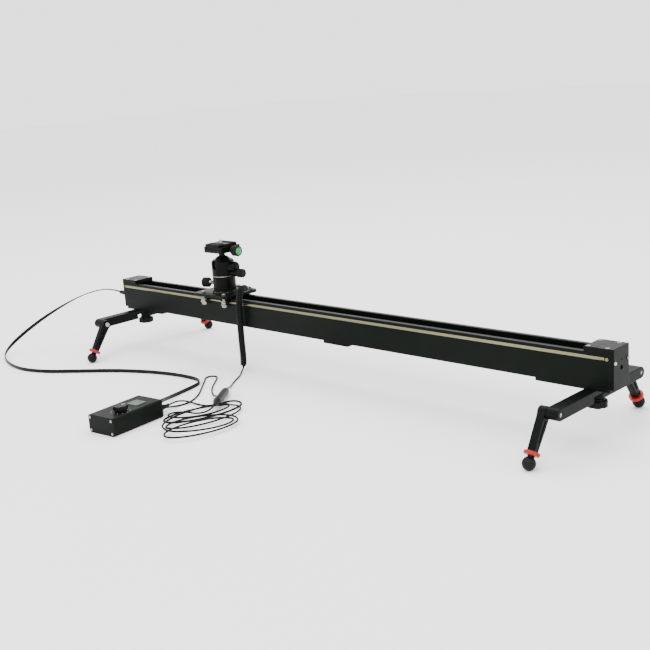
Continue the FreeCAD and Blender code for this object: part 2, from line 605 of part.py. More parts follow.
def head_housing():
    """Barrel that holds the ball: socket, drop notch, side boss and knob seats."""
    bottom = BASE_TOP_Z + 0.3
    barrel = post(CARRIAGE_X, 0, bottom, HOUSING_TOP_Z, HEAD_RADIUS)
    barrel = barrel.makeChamfer(2.4, [barrel.Edges[0]])
    root = 12.0
    boss = bar(head_point(BOSS_ANGLE, root, BOSS_Z), radial(BOSS_ANGLE), BOSS_REACH - root, BOSS_RADIUS)
    far_end = head_point(BOSS_ANGLE, BOSS_REACH, BOSS_Z)
    rim = [e for e in boss.Edges if (e.CenterOfMass - far_end).Length < 1]
    boss = boss.makeFillet(BOSS_RADIUS * 0.6, rim)
    seat = bar(head_point(BOSS_ANGLE, root, MAIN_KNOB_Z), radial(BOSS_ANGLE), BOSS_REACH - root, SEAT_RADIUS)
    body = barrel.fuse(boss).fuse(seat)
    body = body.cut(Part.makeSphere(BALL_RADIUS + SIDE_GAP, Vector(CARRIAGE_X, 0, BALL_Z)))
    body = body.cut(post(CARRIAGE_X, 0, bottom, BASE_TOP_Z + 8.3, 8.0 + RUNNING_GAP))
    notch = bar(Vector(CARRIAGE_X, 0, BALL_Z), -ACROSS, HEAD_RADIUS + 2, NECK_RADIUS + 0.5)
    notch = notch.fuse(block(CARRIAGE_X - NECK_RADIUS - 0.5, CARRIAGE_X + NECK_RADIUS + 0.5,
                             -HEAD_RADIUS - 2, 0, BALL_Z, HOUSING_TOP_Z))
    body = body.cut(notch)
    main_hole = bar(head_point(BOSS_ANGLE, 24.0, MAIN_KNOB_Z), radial(BOSS_ANGLE), 12.0,
                    MAIN_SCREW_RADIUS + RUNNING_GAP)
    pan_hole = bar(head_point(PAN_KNOB_ANGLE, 10.0, PAN_KNOB_Z), radial(PAN_KNOB_ANGLE), 14.0,
                   PAN_SCREW_RADIUS + RUNNING_GAP)
    return body.cut(main_hole).cut(pan_hole)


def side_knob(screw_start, screw_radius, knob_start, knob_length, knob_radius, lobes):
    """Fluted knob lying along +Z from the origin, with its screw towards the head's axis."""
    grip = lobed(knob_radius, knob_start, knob_start + knob_length, lobes, knob_radius * 0.22)
    return grip.fuse(post(0, 0, screw_start, knob_start, screw_radius))


def aim_radial(shape, angle, z):
    """Lay a knob made along +Z down to point outward from the head's axis."""
    laid = turned(turned(shape, 90, ACROSS), angle)
    return moved(laid, CARRIAGE_X, 0, z)


def main_lock_knob():
    """Long fluted knob that locks the ball."""
    knob = side_knob(25.0, MAIN_SCREW_RADIUS, BOSS_REACH + 0.6, MAIN_KNOB_LENGTH, MAIN_KNOB_RADIUS, 10)
    return aim_radial(knob, BOSS_ANGLE, MAIN_KNOB_Z)


def pan_lock_knob():
    """Round knob on a bright stem that locks panning."""
    knob = side_knob(11.0, PAN_SCREW_RADIUS, PAN_KNOB_START, PAN_KNOB_LENGTH, PAN_KNOB_RADIUS, 12)
    return aim_radial(knob, PAN_KNOB_ANGLE, PAN_KNOB_Z)


def head_ball():
    """Ball with its neck and the pin that carries the clamp."""
    centre = Vector(CARRIAGE_X, 0, BALL_Z)
    ball = Part.makeSphere(BALL_RADIUS, centre)
    neck = post(CARRIAGE_X, 0, BALL_Z, CLAMP_BOTTOM_Z - SIDE_GAP, NECK_RADIUS)
    collar = post(CARRIAGE_X, 0, CLAMP_BOTTOM_Z - 1.6, CLAMP_BOTTOM_Z - SIDE_GAP, 8.0)
    pin = post(CARRIAGE_X, 0, CLAMP_BOTTOM_Z - SIDE_GAP, CLAMP_BOTTOM_Z + 4.0, 4.0)
    return ball.fuse(neck).fuse(collar).fuse(pin).removeSplitter()


def jaw_profile(side, slack):
    """Inclined inner face of one jaw as an outline in X and Z, mirrored by side."""
    outer = CLAMP_SIDE / 2
    foot_x = DOVETAIL_FOOT + slack
    neck_x = DOVETAIL_NECK + slack
    corners = ((outer, CLAMP_FLOOR_Z), (foot_x, CLAMP_FLOOR_Z), (neck_x, JAW_TOP_Z), (outer, JAW_TOP_Z))
    return [Vector(CARRIAGE_X + side * x, -CLAMP_SIDE / 2, z) for x, z in corners]


def clamp_body():
    """Square base of the quick-release clamp with its fixed jaw."""
    half = CLAMP_SIDE / 2
    base = block(CARRIAGE_X - half, CARRIAGE_X + half, -half, half, CLAMP_BOTTOM_Z, CLAMP_FLOOR_Z)
    base = base.makeFillet(3.0, upright_edges(base))
    outline = jaw_profile(-1, 0.15)
    jaw = Part.Face(Part.makePolygon(outline + outline[:1])).extrude(ACROSS * CLAMP_SIDE)
    trim = block(CARRIAGE_X - half, CARRIAGE_X + half, -half, half, CLAMP_BOTTOM_Z, JAW_TOP_Z)
    trim = trim.makeFillet(3.0, upright_edges(trim))
    body = base.fuse(jaw.common(trim)).removeSplitter()
    body = body.cut(post(CARRIAGE_X, 0, CLAMP_BOTTOM_Z, CLAMP_BOTTOM_Z + 4.3, 4.0 + RUNNING_GAP))
    return body.cut(bar(Vector(CARRIAGE_X + 9.0, 0, CLAMP_SCREW_Z), ALONG, half, 1.7 + RUNNING_GAP))


def clamp_jaw():
    """Sliding jaw: an inclined lip on the clamp and a cheek down its side."""
    half = CLAMP_SIDE / 2
    outline = jaw_profile(1, 0.15)
    lip = Part.Face(Part.makePolygon(outline + outline[:1])).extrude(ACROSS * CLAMP_SIDE)
    lip = moved(lip, 0, 0, 0.25)
    cheek_x1 = CARRIAGE_X + half
    cheek = block(cheek_x1 + SIDE_GAP, cheek_x1 + CHEEK, -half, half, CLAMP_BOTTOM_Z + 0.4, JAW_TOP_Z + 0.25)
    bridge = block(cheek_x1 - 1, cheek_x1 + 1, -half, half, CLAMP_FLOOR_Z + 0.25, JAW_TOP_Z + 0.25)
    jaw = lip.fuse(bridge).fuse(cheek).removeSplitter()
    outer = [e for e in upright_edges(jaw) if e.CenterOfMass.x > cheek_x1 + CHEEK - 0.1]
    jaw = jaw.makeFillet(2.0, outer)
    return jaw.cut(bar(Vector(cheek_x1 - 1, 0, CLAMP_SCREW_Z), ALONG, CHEEK + 2, 2.2))


def clamp_knob():
    """Knob at the side of the clamp, with its screw through the jaw."""
    start = CLAMP_SIDE / 2 + CHEEK + JAW_TRAVEL + 0.6
    grip = lobed(9.2, start + 4.0, start + 16.0, 14, 1.5)
    collar = post(0, 0, start, start + 4.0, 6.2)
    screw = post(0, 0, 10.0, start, 1.7)
    return aim_radial(grip.fuse(collar).fuse(screw), 0, CLAMP_SCREW_Z)


def camera_plate():
    """Quick-release plate: dovetail below, flat top for the camera."""
    foot_z = CLAMP_FLOOR_Z + SIDE_GAP
    shoulder_z = JAW_TOP_Z + 0.5
    shrink = (DOVETAIL_FOOT - DOVETAIL_NECK) / (JAW_TOP_Z - CLAMP_FLOOR_Z)
    foot_x = DOVETAIL_FOOT - shrink * SIDE_GAP
    neck_x = DOVETAIL_FOOT - shrink * (shoulder_z - CLAMP_FLOOR_Z)
    corners = ((-foot_x, foot_z), (foot_x, foot_z), (neck_x, shoulder_z), (-neck_x, shoulder_z))
    outline = [Vector(CARRIAGE_X + x, -CAMERA_PLATE_Y / 2, z) for x, z in corners]
    dovetail = Part.Face(Part.makePolygon(outline + outline[:1])).extrude(ACROSS * CAMERA_PLATE_Y)
    slab = block(CARRIAGE_X - CAMERA_PLATE_X / 2, CARRIAGE_X + CAMERA_PLATE_X / 2,
                 -CAMERA_PLATE_Y / 2, CAMERA_PLATE_Y / 2, shoulder_z, CAMERA_PLATE_TOP_Z)
    slab = slab.makeFillet(2.5, upright_edges(slab))
    plate = slab.fuse(dovetail).removeSplitter()
    plate = plate.cut(post(CARRIAGE_X, 0, foot_z, CAMERA_PLATE_TOP_Z, CAMERA_NECK_RADIUS + RUNNING_GAP))
    return plate.cut(post(CARRIAGE_X, 0, foot_z, foot_z + 3.2, 8.3))


def camera_screw():
    """Captive quarter-inch camera screw: slotted head under the plate, thin neck, thread above it."""
    head_z = CLAMP_FLOOR_Z + SIDE_GAP + 0.5
    head = post(CARRIAGE_X, 0, head_z, head_z + 2.4, 8.0)
    head = head.cut(block(CARRIAGE_X - 9, CARRIAGE_X + 9, -0.8, 0.8, head_z, head_z + 1.2))
    neck = post(CARRIAGE_X, 0, head_z + 2.4, CAMERA_PLATE_TOP_Z + SIDE_GAP, CAMERA_NECK_RADIUS)
    tip_z = CAMERA_PLATE_TOP_Z + CAMERA_THREAD_REACH
    thread = post(CARRIAGE_X, 0, CAMERA_PLATE_TOP_Z + SIDE_GAP, tip_z, THREAD_SMALL_RADIUS)
    thread = thread.makeChamfer(0.6, [e for e in thread.Edges if abs(e.CenterOfMass.z - tip_z) < 0.01])
    return head.fuse(neck).fuse(thread)


# ---------------------------------------------------------------- hand controller
def on_controller(shape):
    """Place a piece made about the controller's own centre; its length runs along local +Y."""
    placed = turned(shape, CONTROLLER_TURN)
    placed.translate(CONTROLLER_CENTRE)
    return placed


def controller_point(across, along, z):
    """Floor-frame point of a place on the controller."""
    turn = math.radians(CONTROLLER_TURN)
    x = across * math.cos(turn) - along * math.sin(turn)
    y = across * math.sin(turn) + along * math.cos(turn)
    return CONTROLLER_CENTRE + Vector(x, y, z)


def rounded_box(width, y1, y2, z1, z2, corner):
    """Box with its four long edges rounded."""
    body = block(-width / 2, width / 2, y1, y2, z1, z2)
    return body.makeFillet(corner, [e for e in body.Edges if abs(e.Length - (y2 - y1)) < 0.01])


def controller_case():
    """Extruded aluminium sleeve with openings for the dial's shaft and the display."""
    end = CONTROLLER_LENGTH / 2 - CONTROLLER_WALL
    body = rounded_box(CONTROLLER_WIDTH, -end, end, 0, CONTROLLER_HEIGHT, CONTROLLER_CORNER)
    inside = rounded_box(CONTROLLER_WIDTH - 2 * CONTROLLER_WALL, -end, end, CONTROLLER_WALL,
                         CONTROLLER_HEIGHT - CONTROLLER_WALL, CONTROLLER_CORNER - CONTROLLER_WALL)
    body = body.cut(inside)
    shaft_hole = post(DIAL_ACROSS, DIAL_ALONG, CONTROLLER_HEIGHT - 3, CONTROLLER_HEIGHT, 3.0 + RUNNING_GAP)
    return on_controller(body.cut(shaft_hole))


def controller_end(side):
    """Flat end plate of the case."""
    y1 = CONTROLLER_LENGTH / 2 - CONTROLLER_WALL
    plate = rounded_box(CONTROLLER_WIDTH, y1, y1 + CONTROLLER_WALL, 0, CONTROLLER_HEIGHT, CONTROLLER_CORNER)
    for x in (CASE_SCREW_INSET - CONTROLLER_WIDTH / 2, CONTROLLER_WIDTH / 2 - CASE_SCREW_INSET):
        for z in (CASE_SCREW_INSET, CONTROLLER_HEIGHT - CASE_SCREW_INSET):
            plate = plate.cut(bar(Vector(x, y1, z), ACROSS, CONTROLLER_WALL, 1.2 + SCREW_SLACK))
    if side < 0:
        plate = turned(plate, 180)
    return on_controller(plate)


def speed_knob():
    """Six-lobed speed dial with its shaft."""
    z1 = CONTROLLER_HEIGHT + SIDE_GAP
    skirt = post(0, 0, z1, z1 + DIAL_SKIRT, DIAL_RADIUS - 2.6)
    grip = lobed(DIAL_RADIUS, z1 + DIAL_SKIRT, z1 + DIAL_TOP, 6, 3.6)
    shaft = post(0, 0, CONTROLLER_HEIGHT - 8, z1, 3.0)
    return on_controller(moved(skirt.fuse(grip).fuse(shaft), DIAL_ACROSS, DIAL_ALONG))


def display_window():
    """Square framed display window on top of the case."""
    z1 = CONTROLLER_HEIGHT
    frame = block(-11, 11, -10, 10, z1, z1 + 0.9)
    frame = frame.makeFillet(1.5, upright_edges(frame))
    glass = block(-6.8, 6.8, -5.8, 5.8, z1 + 0.6, z1 + 0.9)
    return on_controller(moved(frame.cut(glass), 2.6, 19.6))


def lead_sockets():
    """Cable outlets in the far end plate: one flat gland and two round plugs with boots."""
    y1 = CONTROLLER_LENGTH / 2
    gland = block(FLAT_SOCKET[0] - 3.2, FLAT_SOCKET[0] + 3.2, y1, y1 + SOCKET_LENGTH,
                  FLAT_SOCKET[1] - 5.2, FLAT_SOCKET[1] + 5.2)
    gland = gland.makeFillet(1.4, [e for e in gland.Edges if abs(e.Length - SOCKET_LENGTH) < 0.01])
    pieces = [on_controller(gland)]
    for across, z in (SHUTTER_SOCKET, LOOP_SOCKET):
        barrel = bar(Vector(across, y1, z), ACROSS, SOCKET_LENGTH, PLUG_RADIUS)
        boot_start = Vector(across, y1 + SOCKET_LENGTH, z)
        boot = Part.makeCone(PLUG_RADIUS - 0.5, 2.0, BOOT_LENGTH, boot_start, ACROSS)
        pieces.append(on_controller(barrel.fuse(boot)))
    return pieces


# ---------------------------------------------------------------- cables
def rounded_path(points):
    """Straight runs joined by the largest tangent arcs that each pair of runs allows."""
    edges = []
    radii = []
    start = points[0]
    for before, corner, after in zip(points, points[1:], points[2:]):
        back = before - corner
        ahead = after - corner
        turn = math.pi - back.getAngle(ahead)
        trim = ARC_SHARE * min(back.Length, ahead.Length)
        radius = trim / math.tan(turn / 2)
        back.normalize()
        ahead.normalize()
        first = corner + back * trim
        last = corner + ahead * trim
        inward = (back + ahead).normalize()
        middle = corner + inward * (math.hypot(radius, trim) - radius)
        edges.append(Part.LineSegment(start, first).toShape())
        edges.append(Part.Arc(first, middle, last).toShape())
        radii.append(radius)
        start = last
    edges.append(Part.LineSegment(start, points[-1]).toShape())
    return Part.Wire(edges), radii


def tube(name, route, diameter):
    """Sweep a round section along a route and report its radii and volume."""
    path, radii = rounded_path([Vector(*p) for p in route])
    direction = Vector(*route[1]) - Vector(*route[0])
    section = Part.Wire(Part.makeCircle(diameter / 2, Vector(*route[0]), direction))
    solid = path.makePipeShell([section], True, False)
    ideal = math.pi * diameter ** 2 / 4 * path.Length
    print(f"{name}: length {path.Length:.1f}, radii {min(radii):.1f} to {max(radii):.1f},"
          f" volume {solid.Volume / ideal:.4f}, valid {solid.isValid()}")
    return solid


def socket_tip(socket, reach):
    """End of a lead outlet as a tuple."""
    point = controller_point(socket[0], CONTROLLER_LENGTH / 2 + reach, socket[1])
    return (round(point.x, 2), round(point.y, 2), round(point.z, 2))


MOTOR_CABLE_ROUTE = [
    (-546.0, -10.0, 100.2), (-561.0, -12.0, 103.5), (-576.0, -29.0, 107.0), (-586.0, -56.0, 104.5),
    (-600.0, -83.0, 95.5), (-623.0, -106.0, 80.0), (-650.0, -130.0, 60.0), (-673.0, -155.0, 38.0),
    (-684.0, -180.0, 19.0), (-672.0, -206.0, 7.0), (-636.0, -226.0, 3.4), (-590.0, -240.0, 3.4),
    (-541.0, -244.0, 3.4), (-489.0, -229.0, 3.4), (-433.0, -193.0, 3.4), (-385.0, -161.0, 3.4),
    (-342.0, -140.0, 3.4), (-298.0, -124.0, 3.4), (-258.0, -115.0, 3.4), (-222.0, -112.0, 3.4),
    (-197.0, -113.5, 3.4), (-179.5, -124.5, 3.4), (-172.5, -145.5, 3.4), (-167.5, -172.0, 3.4),
    (-160.0, -199.0, 4.2), (-146.0, -223.0, 8.6), (-131.0, -242.0, 13.4),
    socket_tip(FLAT_SOCKET, SOCKET_LENGTH + END_GAP),
]

SHUTTER_LEAD_ROUTE = [
    socket_tip(SHUTTER_SOCKET, SOCKET_LENGTH + BOOT_LENGTH + END_GAP), (-121.0, -232.0, 3.2),
    (-118.0, -218.0, 1.5), (-115.5, -202.0, 1.5), (-122.5, -184.0, 1.5), (-136.0, -163.0, 1.5),
    (-160.0, -137.0, 1.5), (-184.0, -111.5, 1.5), (-204.0, -91.5, 1.5), (-190.2, -77.0, 1.5),
    (-172.5, -95.0, 1.5), (-157.5, -113.5, 1.5), (-141.0, -131.5, 1.5), (-121.0, -148.0, 2.5),
    (-103.0, -159.5, 4.5), (-86.0, -168.0, 8.0),
]

LOOP_LEAD_ROUTE = [
    socket_tip(LOOP_SOCKET, SOCKET_LENGTH + BOOT_LENGTH + END_GAP), (-115.0, -230.5, 10.8),
    (-121.0, -217.5, 8.5), (-118.5, -205.0, 5.8), (-106.5, -199.5, 2.8), (-95.5, -197.5, 1.5),
    (-86.5, -196.0, 1.5),
]

COIL_TAIL_ROUTE = [
    (-105.5, -126.8, 7.0), (-117.0, -112.0, 3.2), (-131.0, -95.5, 1.5), (-144.0, -76.0, 1.5),
    (-154.5, -58.0, 1.5), (-166.0, -44.0, 2.4), (-171.0, -35.0, 6.0),
]

COILED_LEAD_ROUTE = [
    (-171.5, -33.5, 8.0), (-172.5, -30.5, 24.0), (-174.5, -29.6, 48.0), (-175.0, -28.8, 78.0),
    (-173.5, -29.6, 103.0), (-172.5, -29.2, 127.0), (-178.5, -15.0, 145.0), (-190.0, 4.0, 138.0),
]

CAMERA_LEAD_ROUTE = [
    (-190.3, 4.6, 137.7), (-193.5, 11.5, 134.3), (-197.5, 20.5, 131.7), (-204.0, 30.0, 131.5),
    (-213.0, 35.0, 131.5), (-225.0, 33.5, 131.7), (-238.0, 31.5, 132.4),
]


def oval_ring(centre, turn, long_half, short_half):
    """Flat oval band on the floor."""
    outer = Part.Ellipse(Vector(0, 0, 0), long_half, short_half)
    inner = Part.Ellipse(Vector(0, 0, 0), long_half - HANK_BAND, short_half - HANK_BAND)
    ring = Part.Face(Part.Wire(outer.toShape())).extrude(UP * HANK_HEIGHT)
    ring = ring.cut(Part.Face(Part.Wire(inner.toShape())).extrude(UP * HANK_HEIGHT))
    return moved(turned(ring, turn), centre.x, centre.y)


def hank():
    """Outer shape of the loose loops on the floor: two crossing bands that the joint lies on."""
    first, second = [oval_ring(*ring) for ring in HANK_RINGS]
    return first.fuse(second).cut(lead_joint(SIDE_GAP + 0.1))


def lead_joint(extra=0.0):
    """In-line joint where the leads meet the coiled lead: a body with a taper at each end."""
    line = JOINT_END - JOINT_START
    length = line.Length
    line.normalize()
    thick = JOINT_RADIUS + extra
    thin = JOINT_TIP_RADIUS + extra
    first = Part.makeCone(thin, thick, JOINT_TAPER, JOINT_START, line)
    middle = bar(JOINT_START + line * JOINT_TAPER, line, length - 2 * JOINT_TAPER, thick)
    last = Part.makeCone(thick, thin, JOINT_TAPER, JOINT_START + line * (length - JOINT_TAPER), line)
    return first.fuse(middle).fuse(last).removeSplitter()


def camera_plug():
    """Small jack plug lying on the carriage plate."""
    heading = -ALONG
    start = Vector(*CAMERA_LEAD_ROUTE[-1]) + heading * SIDE_GAP
    sleeve = bar(start, heading, CAMERA_PLUG_LENGTH - 8.0, 2.2)
    pin = bar(start + heading * (CAMERA_PLUG_LENGTH - 8.0), heading, 8.0, 1.25)
    return sleeve.fuse(pin)


# ---------------------------------------------------------------- write every node
save("rail_extrusion", rail_extrusion())
save("guide_rods", guide_rod(-1), guide_rod(1))
save("end_block_left", end_block(-1))
save("end_block_right", end_block(1))
save("case_screws", *case_screws())
save("leg_plates", leg_plate(-1), leg_plate(1))
save("tripod_plate", tripod_plate())
save("timing_belt", timing_belt())
save("gear_motor", gear_motor())
save("cable_gland", cable_gland())
save("drive_pulley", pulley(-PULLEY_X, SHAFT_RADIUS + 0.05), drive_shaft())
save("idler_pulley", pulley(PULLEY_X, SHAFT_RADIUS + RUNNING_GAP))
save("leg_knob_left", leg_knob(-1))
save("leg_knob_right", leg_knob(1))
for corner_name, corner_x, corner_y in CORNERS:
    save_leg(corner_name, corner_x, corner_y)

save("carriage_plate", carriage_plate())
save("roller_bolts", *[roller_bolt(x, y) for x, y in roller_places()])
for roller_name, (roller_x, roller_y) in zip(("front_left", "front_right", "back_left", "back_right"),
                                             roller_places()):
    save(f"roller_{roller_name}", roller(roller_x, roller_y))

save("head_base", head_base())
save("head_housing", head_housing())
save("main_lock_knob", main_lock_knob())
save("pan_lock_knob", pan_lock_knob())
save("head_ball", head_ball())
save("clamp_body", clamp_body())
save("clamp_jaw", clamp_jaw())
save("clamp_knob", clamp_knob())
save("camera_plate", camera_plate())
save("camera_screw", camera_screw())

save("controller_case", controller_case())
save("controller_ends", controller_end(-1), controller_end(1))
save("speed_knob", speed_knob())
save("display_window", display_window())
save("lead_sockets", *lead_sockets())

save("motor_cable", tube("motor_cable", MOTOR_CABLE_ROUTE, FLAT_CABLE_WIDTH))
save("shutter_lead", tube("shutter_lead", SHUTTER_LEAD_ROUTE, LEAD_DIAMETER))
save("loop_lead", tube("loop_lead", LOOP_LEAD_ROUTE, LEAD_DIAMETER))
save("loop_lead_hank", hank())
save("lead_joint", lead_joint())
save("coil_tail", tube("coil_tail", COIL_TAIL_ROUTE, LEAD_DIAMETER))
save("coiled_lead", tube("coiled_lead", COILED_LEAD_ROUTE, COIL_OUTER))
save("camera_lead", tube("camera_lead", CAMERA_LEAD_ROUTE, LEAD_DIAMETER))
save("camera_plug", camera_plug())
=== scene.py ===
import math

import bpy
import numpy as np
from mathutils import Matrix, Vector


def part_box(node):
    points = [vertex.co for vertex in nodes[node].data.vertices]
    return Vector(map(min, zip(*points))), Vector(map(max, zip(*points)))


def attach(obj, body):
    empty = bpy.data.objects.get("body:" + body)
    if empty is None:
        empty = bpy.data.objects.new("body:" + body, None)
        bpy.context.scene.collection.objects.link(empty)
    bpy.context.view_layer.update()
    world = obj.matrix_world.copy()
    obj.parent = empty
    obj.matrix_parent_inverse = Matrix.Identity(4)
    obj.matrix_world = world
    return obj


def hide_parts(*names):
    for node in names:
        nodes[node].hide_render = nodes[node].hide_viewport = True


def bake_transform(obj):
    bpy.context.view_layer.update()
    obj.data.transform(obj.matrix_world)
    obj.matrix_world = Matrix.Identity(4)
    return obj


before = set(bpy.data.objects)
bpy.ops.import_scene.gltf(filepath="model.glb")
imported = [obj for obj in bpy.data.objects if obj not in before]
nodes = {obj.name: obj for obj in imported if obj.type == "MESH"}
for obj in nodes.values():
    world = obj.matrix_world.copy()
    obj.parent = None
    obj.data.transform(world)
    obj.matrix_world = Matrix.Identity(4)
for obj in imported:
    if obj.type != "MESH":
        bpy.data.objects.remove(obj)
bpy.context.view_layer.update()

# ---------------------------------------------------------------- camera
CAMERA_PLACE = Vector((1.1401, -1.1507, 0.4962))
CAMERA_YAW = math.radians(44.74)
CAMERA_PITCH = math.radians(-13.88)
CAMERA_ROLL = math.radians(-4.26)
CAMERA_LENS = 57.39


def add_camera():
    """Camera on the right of the rail's front, looking down along it."""
    flat = math.cos(CAMERA_PITCH)
    ahead = Vector((-math.sin(CAMERA_YAW) * flat, math.cos(CAMERA_YAW) * flat, math.sin(CAMERA_PITCH)))
    level = Vector((math.cos(CAMERA_YAW), math.sin(CAMERA_YAW), 0))
    raised = level.cross(ahead)
    right = math.cos(CAMERA_ROLL) * level + math.sin(CAMERA_ROLL) * raised
    up = math.cos(CAMERA_ROLL) * raised - math.sin(CAMERA_ROLL) * level
    data = bpy.data.cameras.new("camera")
    data.lens = CAMERA_LENS
    data.sensor_width = 36.0
    camera = bpy.data.objects.new("camera", data)
    turn = Matrix((right, up, -ahead)).transposed().to_4x4()
    camera.matrix_world = Matrix.Translation(CAMERA_PLACE) @ turn
    bpy.context.scene.collection.objects.link(camera)
    bpy.context.scene.camera = camera


add_camera()

# ---------------------------------------------------------------- cable routes, as laid
MOTOR_CABLE_ROUTE = [
    (-0.5460, -0.0100, 0.1002), (-0.5610, -0.0120, 0.1035), (-0.5760, -0.0290, 0.1070),
    (-0.5860, -0.0560, 0.1045), (-0.6000, -0.0830, 0.0955), (-0.6230, -0.1060, 0.0800),
    (-0.6500, -0.1300, 0.0600), (-0.6730, -0.1550, 0.0380), (-0.6840, -0.1800, 0.0190),
    (-0.6720, -0.2060, 0.0070), (-0.6360, -0.2260, 0.0034), (-0.5900, -0.2400, 0.0034),
    (-0.5410, -0.2440, 0.0034), (-0.4890, -0.2290, 0.0034), (-0.4330, -0.1930, 0.0034),
    (-0.3850, -0.1610, 0.0034), (-0.3420, -0.1400, 0.0034), (-0.2980, -0.1240, 0.0034),
    (-0.2580, -0.1150, 0.0034), (-0.2220, -0.1120, 0.0034), (-0.1970, -0.1135, 0.0034),
    (-0.1795, -0.1245, 0.0034), (-0.1725, -0.1455, 0.0034), (-0.1675, -0.1720, 0.0034),
    (-0.1600, -0.1990, 0.0042), (-0.1460, -0.2230, 0.0086), (-0.1310, -0.2420, 0.0134),
    (-0.1277, -0.2547, 0.0150),
]

SHUTTER_LEAD_ROUTE = [
    (-0.1198, -0.2438, 0.0052), (-0.1210, -0.2320, 0.0032), (-0.1180, -0.2180, 0.0015),
    (-0.1155, -0.2020, 0.0015), (-0.1225, -0.1840, 0.0015), (-0.1360, -0.1630, 0.0015),
    (-0.1600, -0.1370, 0.0015), (-0.1840, -0.1115, 0.0015), (-0.2040, -0.0915, 0.0015),
    (-0.1902, -0.0770, 0.0015), (-0.1725, -0.0950, 0.0015), (-0.1575, -0.1135, 0.0015),
    (-0.1410, -0.1315, 0.0015), (-0.1210, -0.1480, 0.0025), (-0.1030, -0.1595, 0.0045),
    (-0.0860, -0.1680, 0.0080), (-0.0780, -0.1700, 0.0095),
]

LOOP_LEAD_ROUTE = [
    (-0.1094, -0.2427, 0.0120), (-0.1150, -0.2305, 0.0108), (-0.1210, -0.2175, 0.0085),
    (-0.1185, -0.2050, 0.0058), (-0.1065, -0.1995, 0.0028), (-0.0955, -0.1975, 0.0015),
    (-0.0865, -0.1960, 0.0015), (-0.0760, -0.1935, 0.0015), (-0.0670, -0.1810, 0.0015),
    (-0.0680, -0.1650, 0.0015), (-0.0600, -0.1525, 0.0015),
]
LOOP_ENDS = [
    (-0.0450, -0.1530, 0.0015), (-0.0780, -0.2800, 0.0015), (-0.0240, -0.1740, 0.0043),
    (-0.0460, -0.3010, 0.0043), (0.0180, -0.2160, 0.0060), (-0.0100, -0.3300, 0.0070),
    (0.0220, -0.2260, 0.0085), (-0.0330, -0.3120, 0.0085), (-0.0320, -0.1860, 0.0100),
    (-0.0880, -0.2640, 0.0050),
]
LOOP_BULGES = (0.030, 0.030, 0.030, 0.032, 0.028, 0.030, 0.028, 0.032, 0.030)
LOOP_STEPS = 8
LOOP_RETURN_ROUTE = [
    (-0.0920, -0.2520, 0.0045), (-0.0840, -0.2420, 0.0045), (-0.0680, -0.2380, 0.0055),
    (-0.0500, -0.2400, 0.0075), (-0.0360, -0.2340, 0.0100), (-0.0340, -0.2220, 0.0120),
    (-0.0405, -0.2105, 0.0134),
]

COIL_TAIL_ROUTE = [
    (-0.1055, -0.1268, 0.0070), (-0.1170, -0.1120, 0.0032), (-0.1310, -0.0955, 0.0015),
    (-0.1440, -0.0760, 0.0015), (-0.1545, -0.0580, 0.0015), (-0.1660, -0.0440, 0.0024),
    (-0.1710, -0.0350, 0.0060),
]
COILED_LEAD_ROUTE = [
    (-0.1715, -0.0335, 0.0080), (-0.1725, -0.0305, 0.0240), (-0.1745, -0.0296, 0.0480),
    (-0.1750, -0.0288, 0.0780), (-0.1735, -0.0296, 0.1030), (-0.1725, -0.0292, 0.1270),
    (-0.1785, -0.0150, 0.1450), (-0.1900, 0.0040, 0.1380),
]
CAMERA_LEAD_ROUTE = [
    (-0.1903, 0.0046, 0.1377), (-0.1935, 0.0115, 0.1343), (-0.1975, 0.0205, 0.1317),
    (-0.2040, 0.0300, 0.1315), (-0.2130, 0.0350, 0.1315), (-0.2250, 0.0335, 0.1317),
    (-0.2380, 0.0315, 0.1324),
]

LEAD_DIAMETER = 0.0028
FLAT_WIDTH = 0.0066
FLAT_THICKNESS = 0.0024
COIL_OUTER = 0.0118
COIL_WIRE = 0.0027
COIL_TURNS = 58
STEPS_PER_TURN = 12


# ---------------------------------------------------------------- cable geometry
def spline_curve(name, points, radius=0.0):
    """Open NURBS curve through a route's control points."""
    data = bpy.data.curves.new(name, "CURVE")
    data.dimensions = "3D"
    data.bevel_depth = radius
    data.bevel_resolution = 5
    data.resolution_u = 8
    data.use_fill_caps = radius > 0
    spline = data.splines.new("NURBS")
    spline.points.add(len(points) - 1)
    for target, point in zip(spline.points, points):
        target.co = (*point, 1.0)
    spline.order_u = 3
    spline.use_endpoint_u = True
    obj = bpy.data.objects.new(name, data)
    bpy.context.scene.collection.objects.link(obj)
    return obj


def spline_line(points):
    """Points along the smooth line of a route."""
    curve = spline_curve("route_line", points)
    mesh = bpy.data.meshes.new_from_object(curve)
    line = [vertex.co.copy() for vertex in mesh.vertices]
    bpy.data.objects.remove(curve)
    bpy.data.meshes.remove(mesh)
    return line


def evenly(line, count):
    """The same line as equally spaced points."""
    line = np.array(line)
    steps = np.linalg.norm(np.diff(line, axis=0), axis=1)
    along = np.concatenate(([0.0], np.cumsum(steps)))
    wanted = np.linspace(0.0, along[-1], count)
    return [Vector([np.interp(s, along, line[:, k]) for k in range(3)]) for s in wanted]


def line_length(line):
    """Length of a line of points."""
    return sum((b - a).length for a, b in zip(line, line[1:]))


def tangents(line):
    """Direction of travel at every point."""
    ahead = [b - a for a, b in zip(line, line[1:])]
    inner = [(a + b).normalized() for a, b in zip(ahead, ahead[1:])]
    return [ahead[0].normalized(), *inner, ahead[-1].normalized()]


def as_mesh(curve):
    """Turn a bevelled curve into a mesh piece of the same name."""
    name = curve.name
    mesh = bpy.data.meshes.new_from_object(curve)
    bpy.data.objects.remove(curve)
    obj = bpy.data.objects.new(name, mesh)
    bpy.context.scene.collection.objects.link(obj)
    mesh.polygons.foreach_set("use_smooth", [True] * len(mesh.polygons))
    return obj


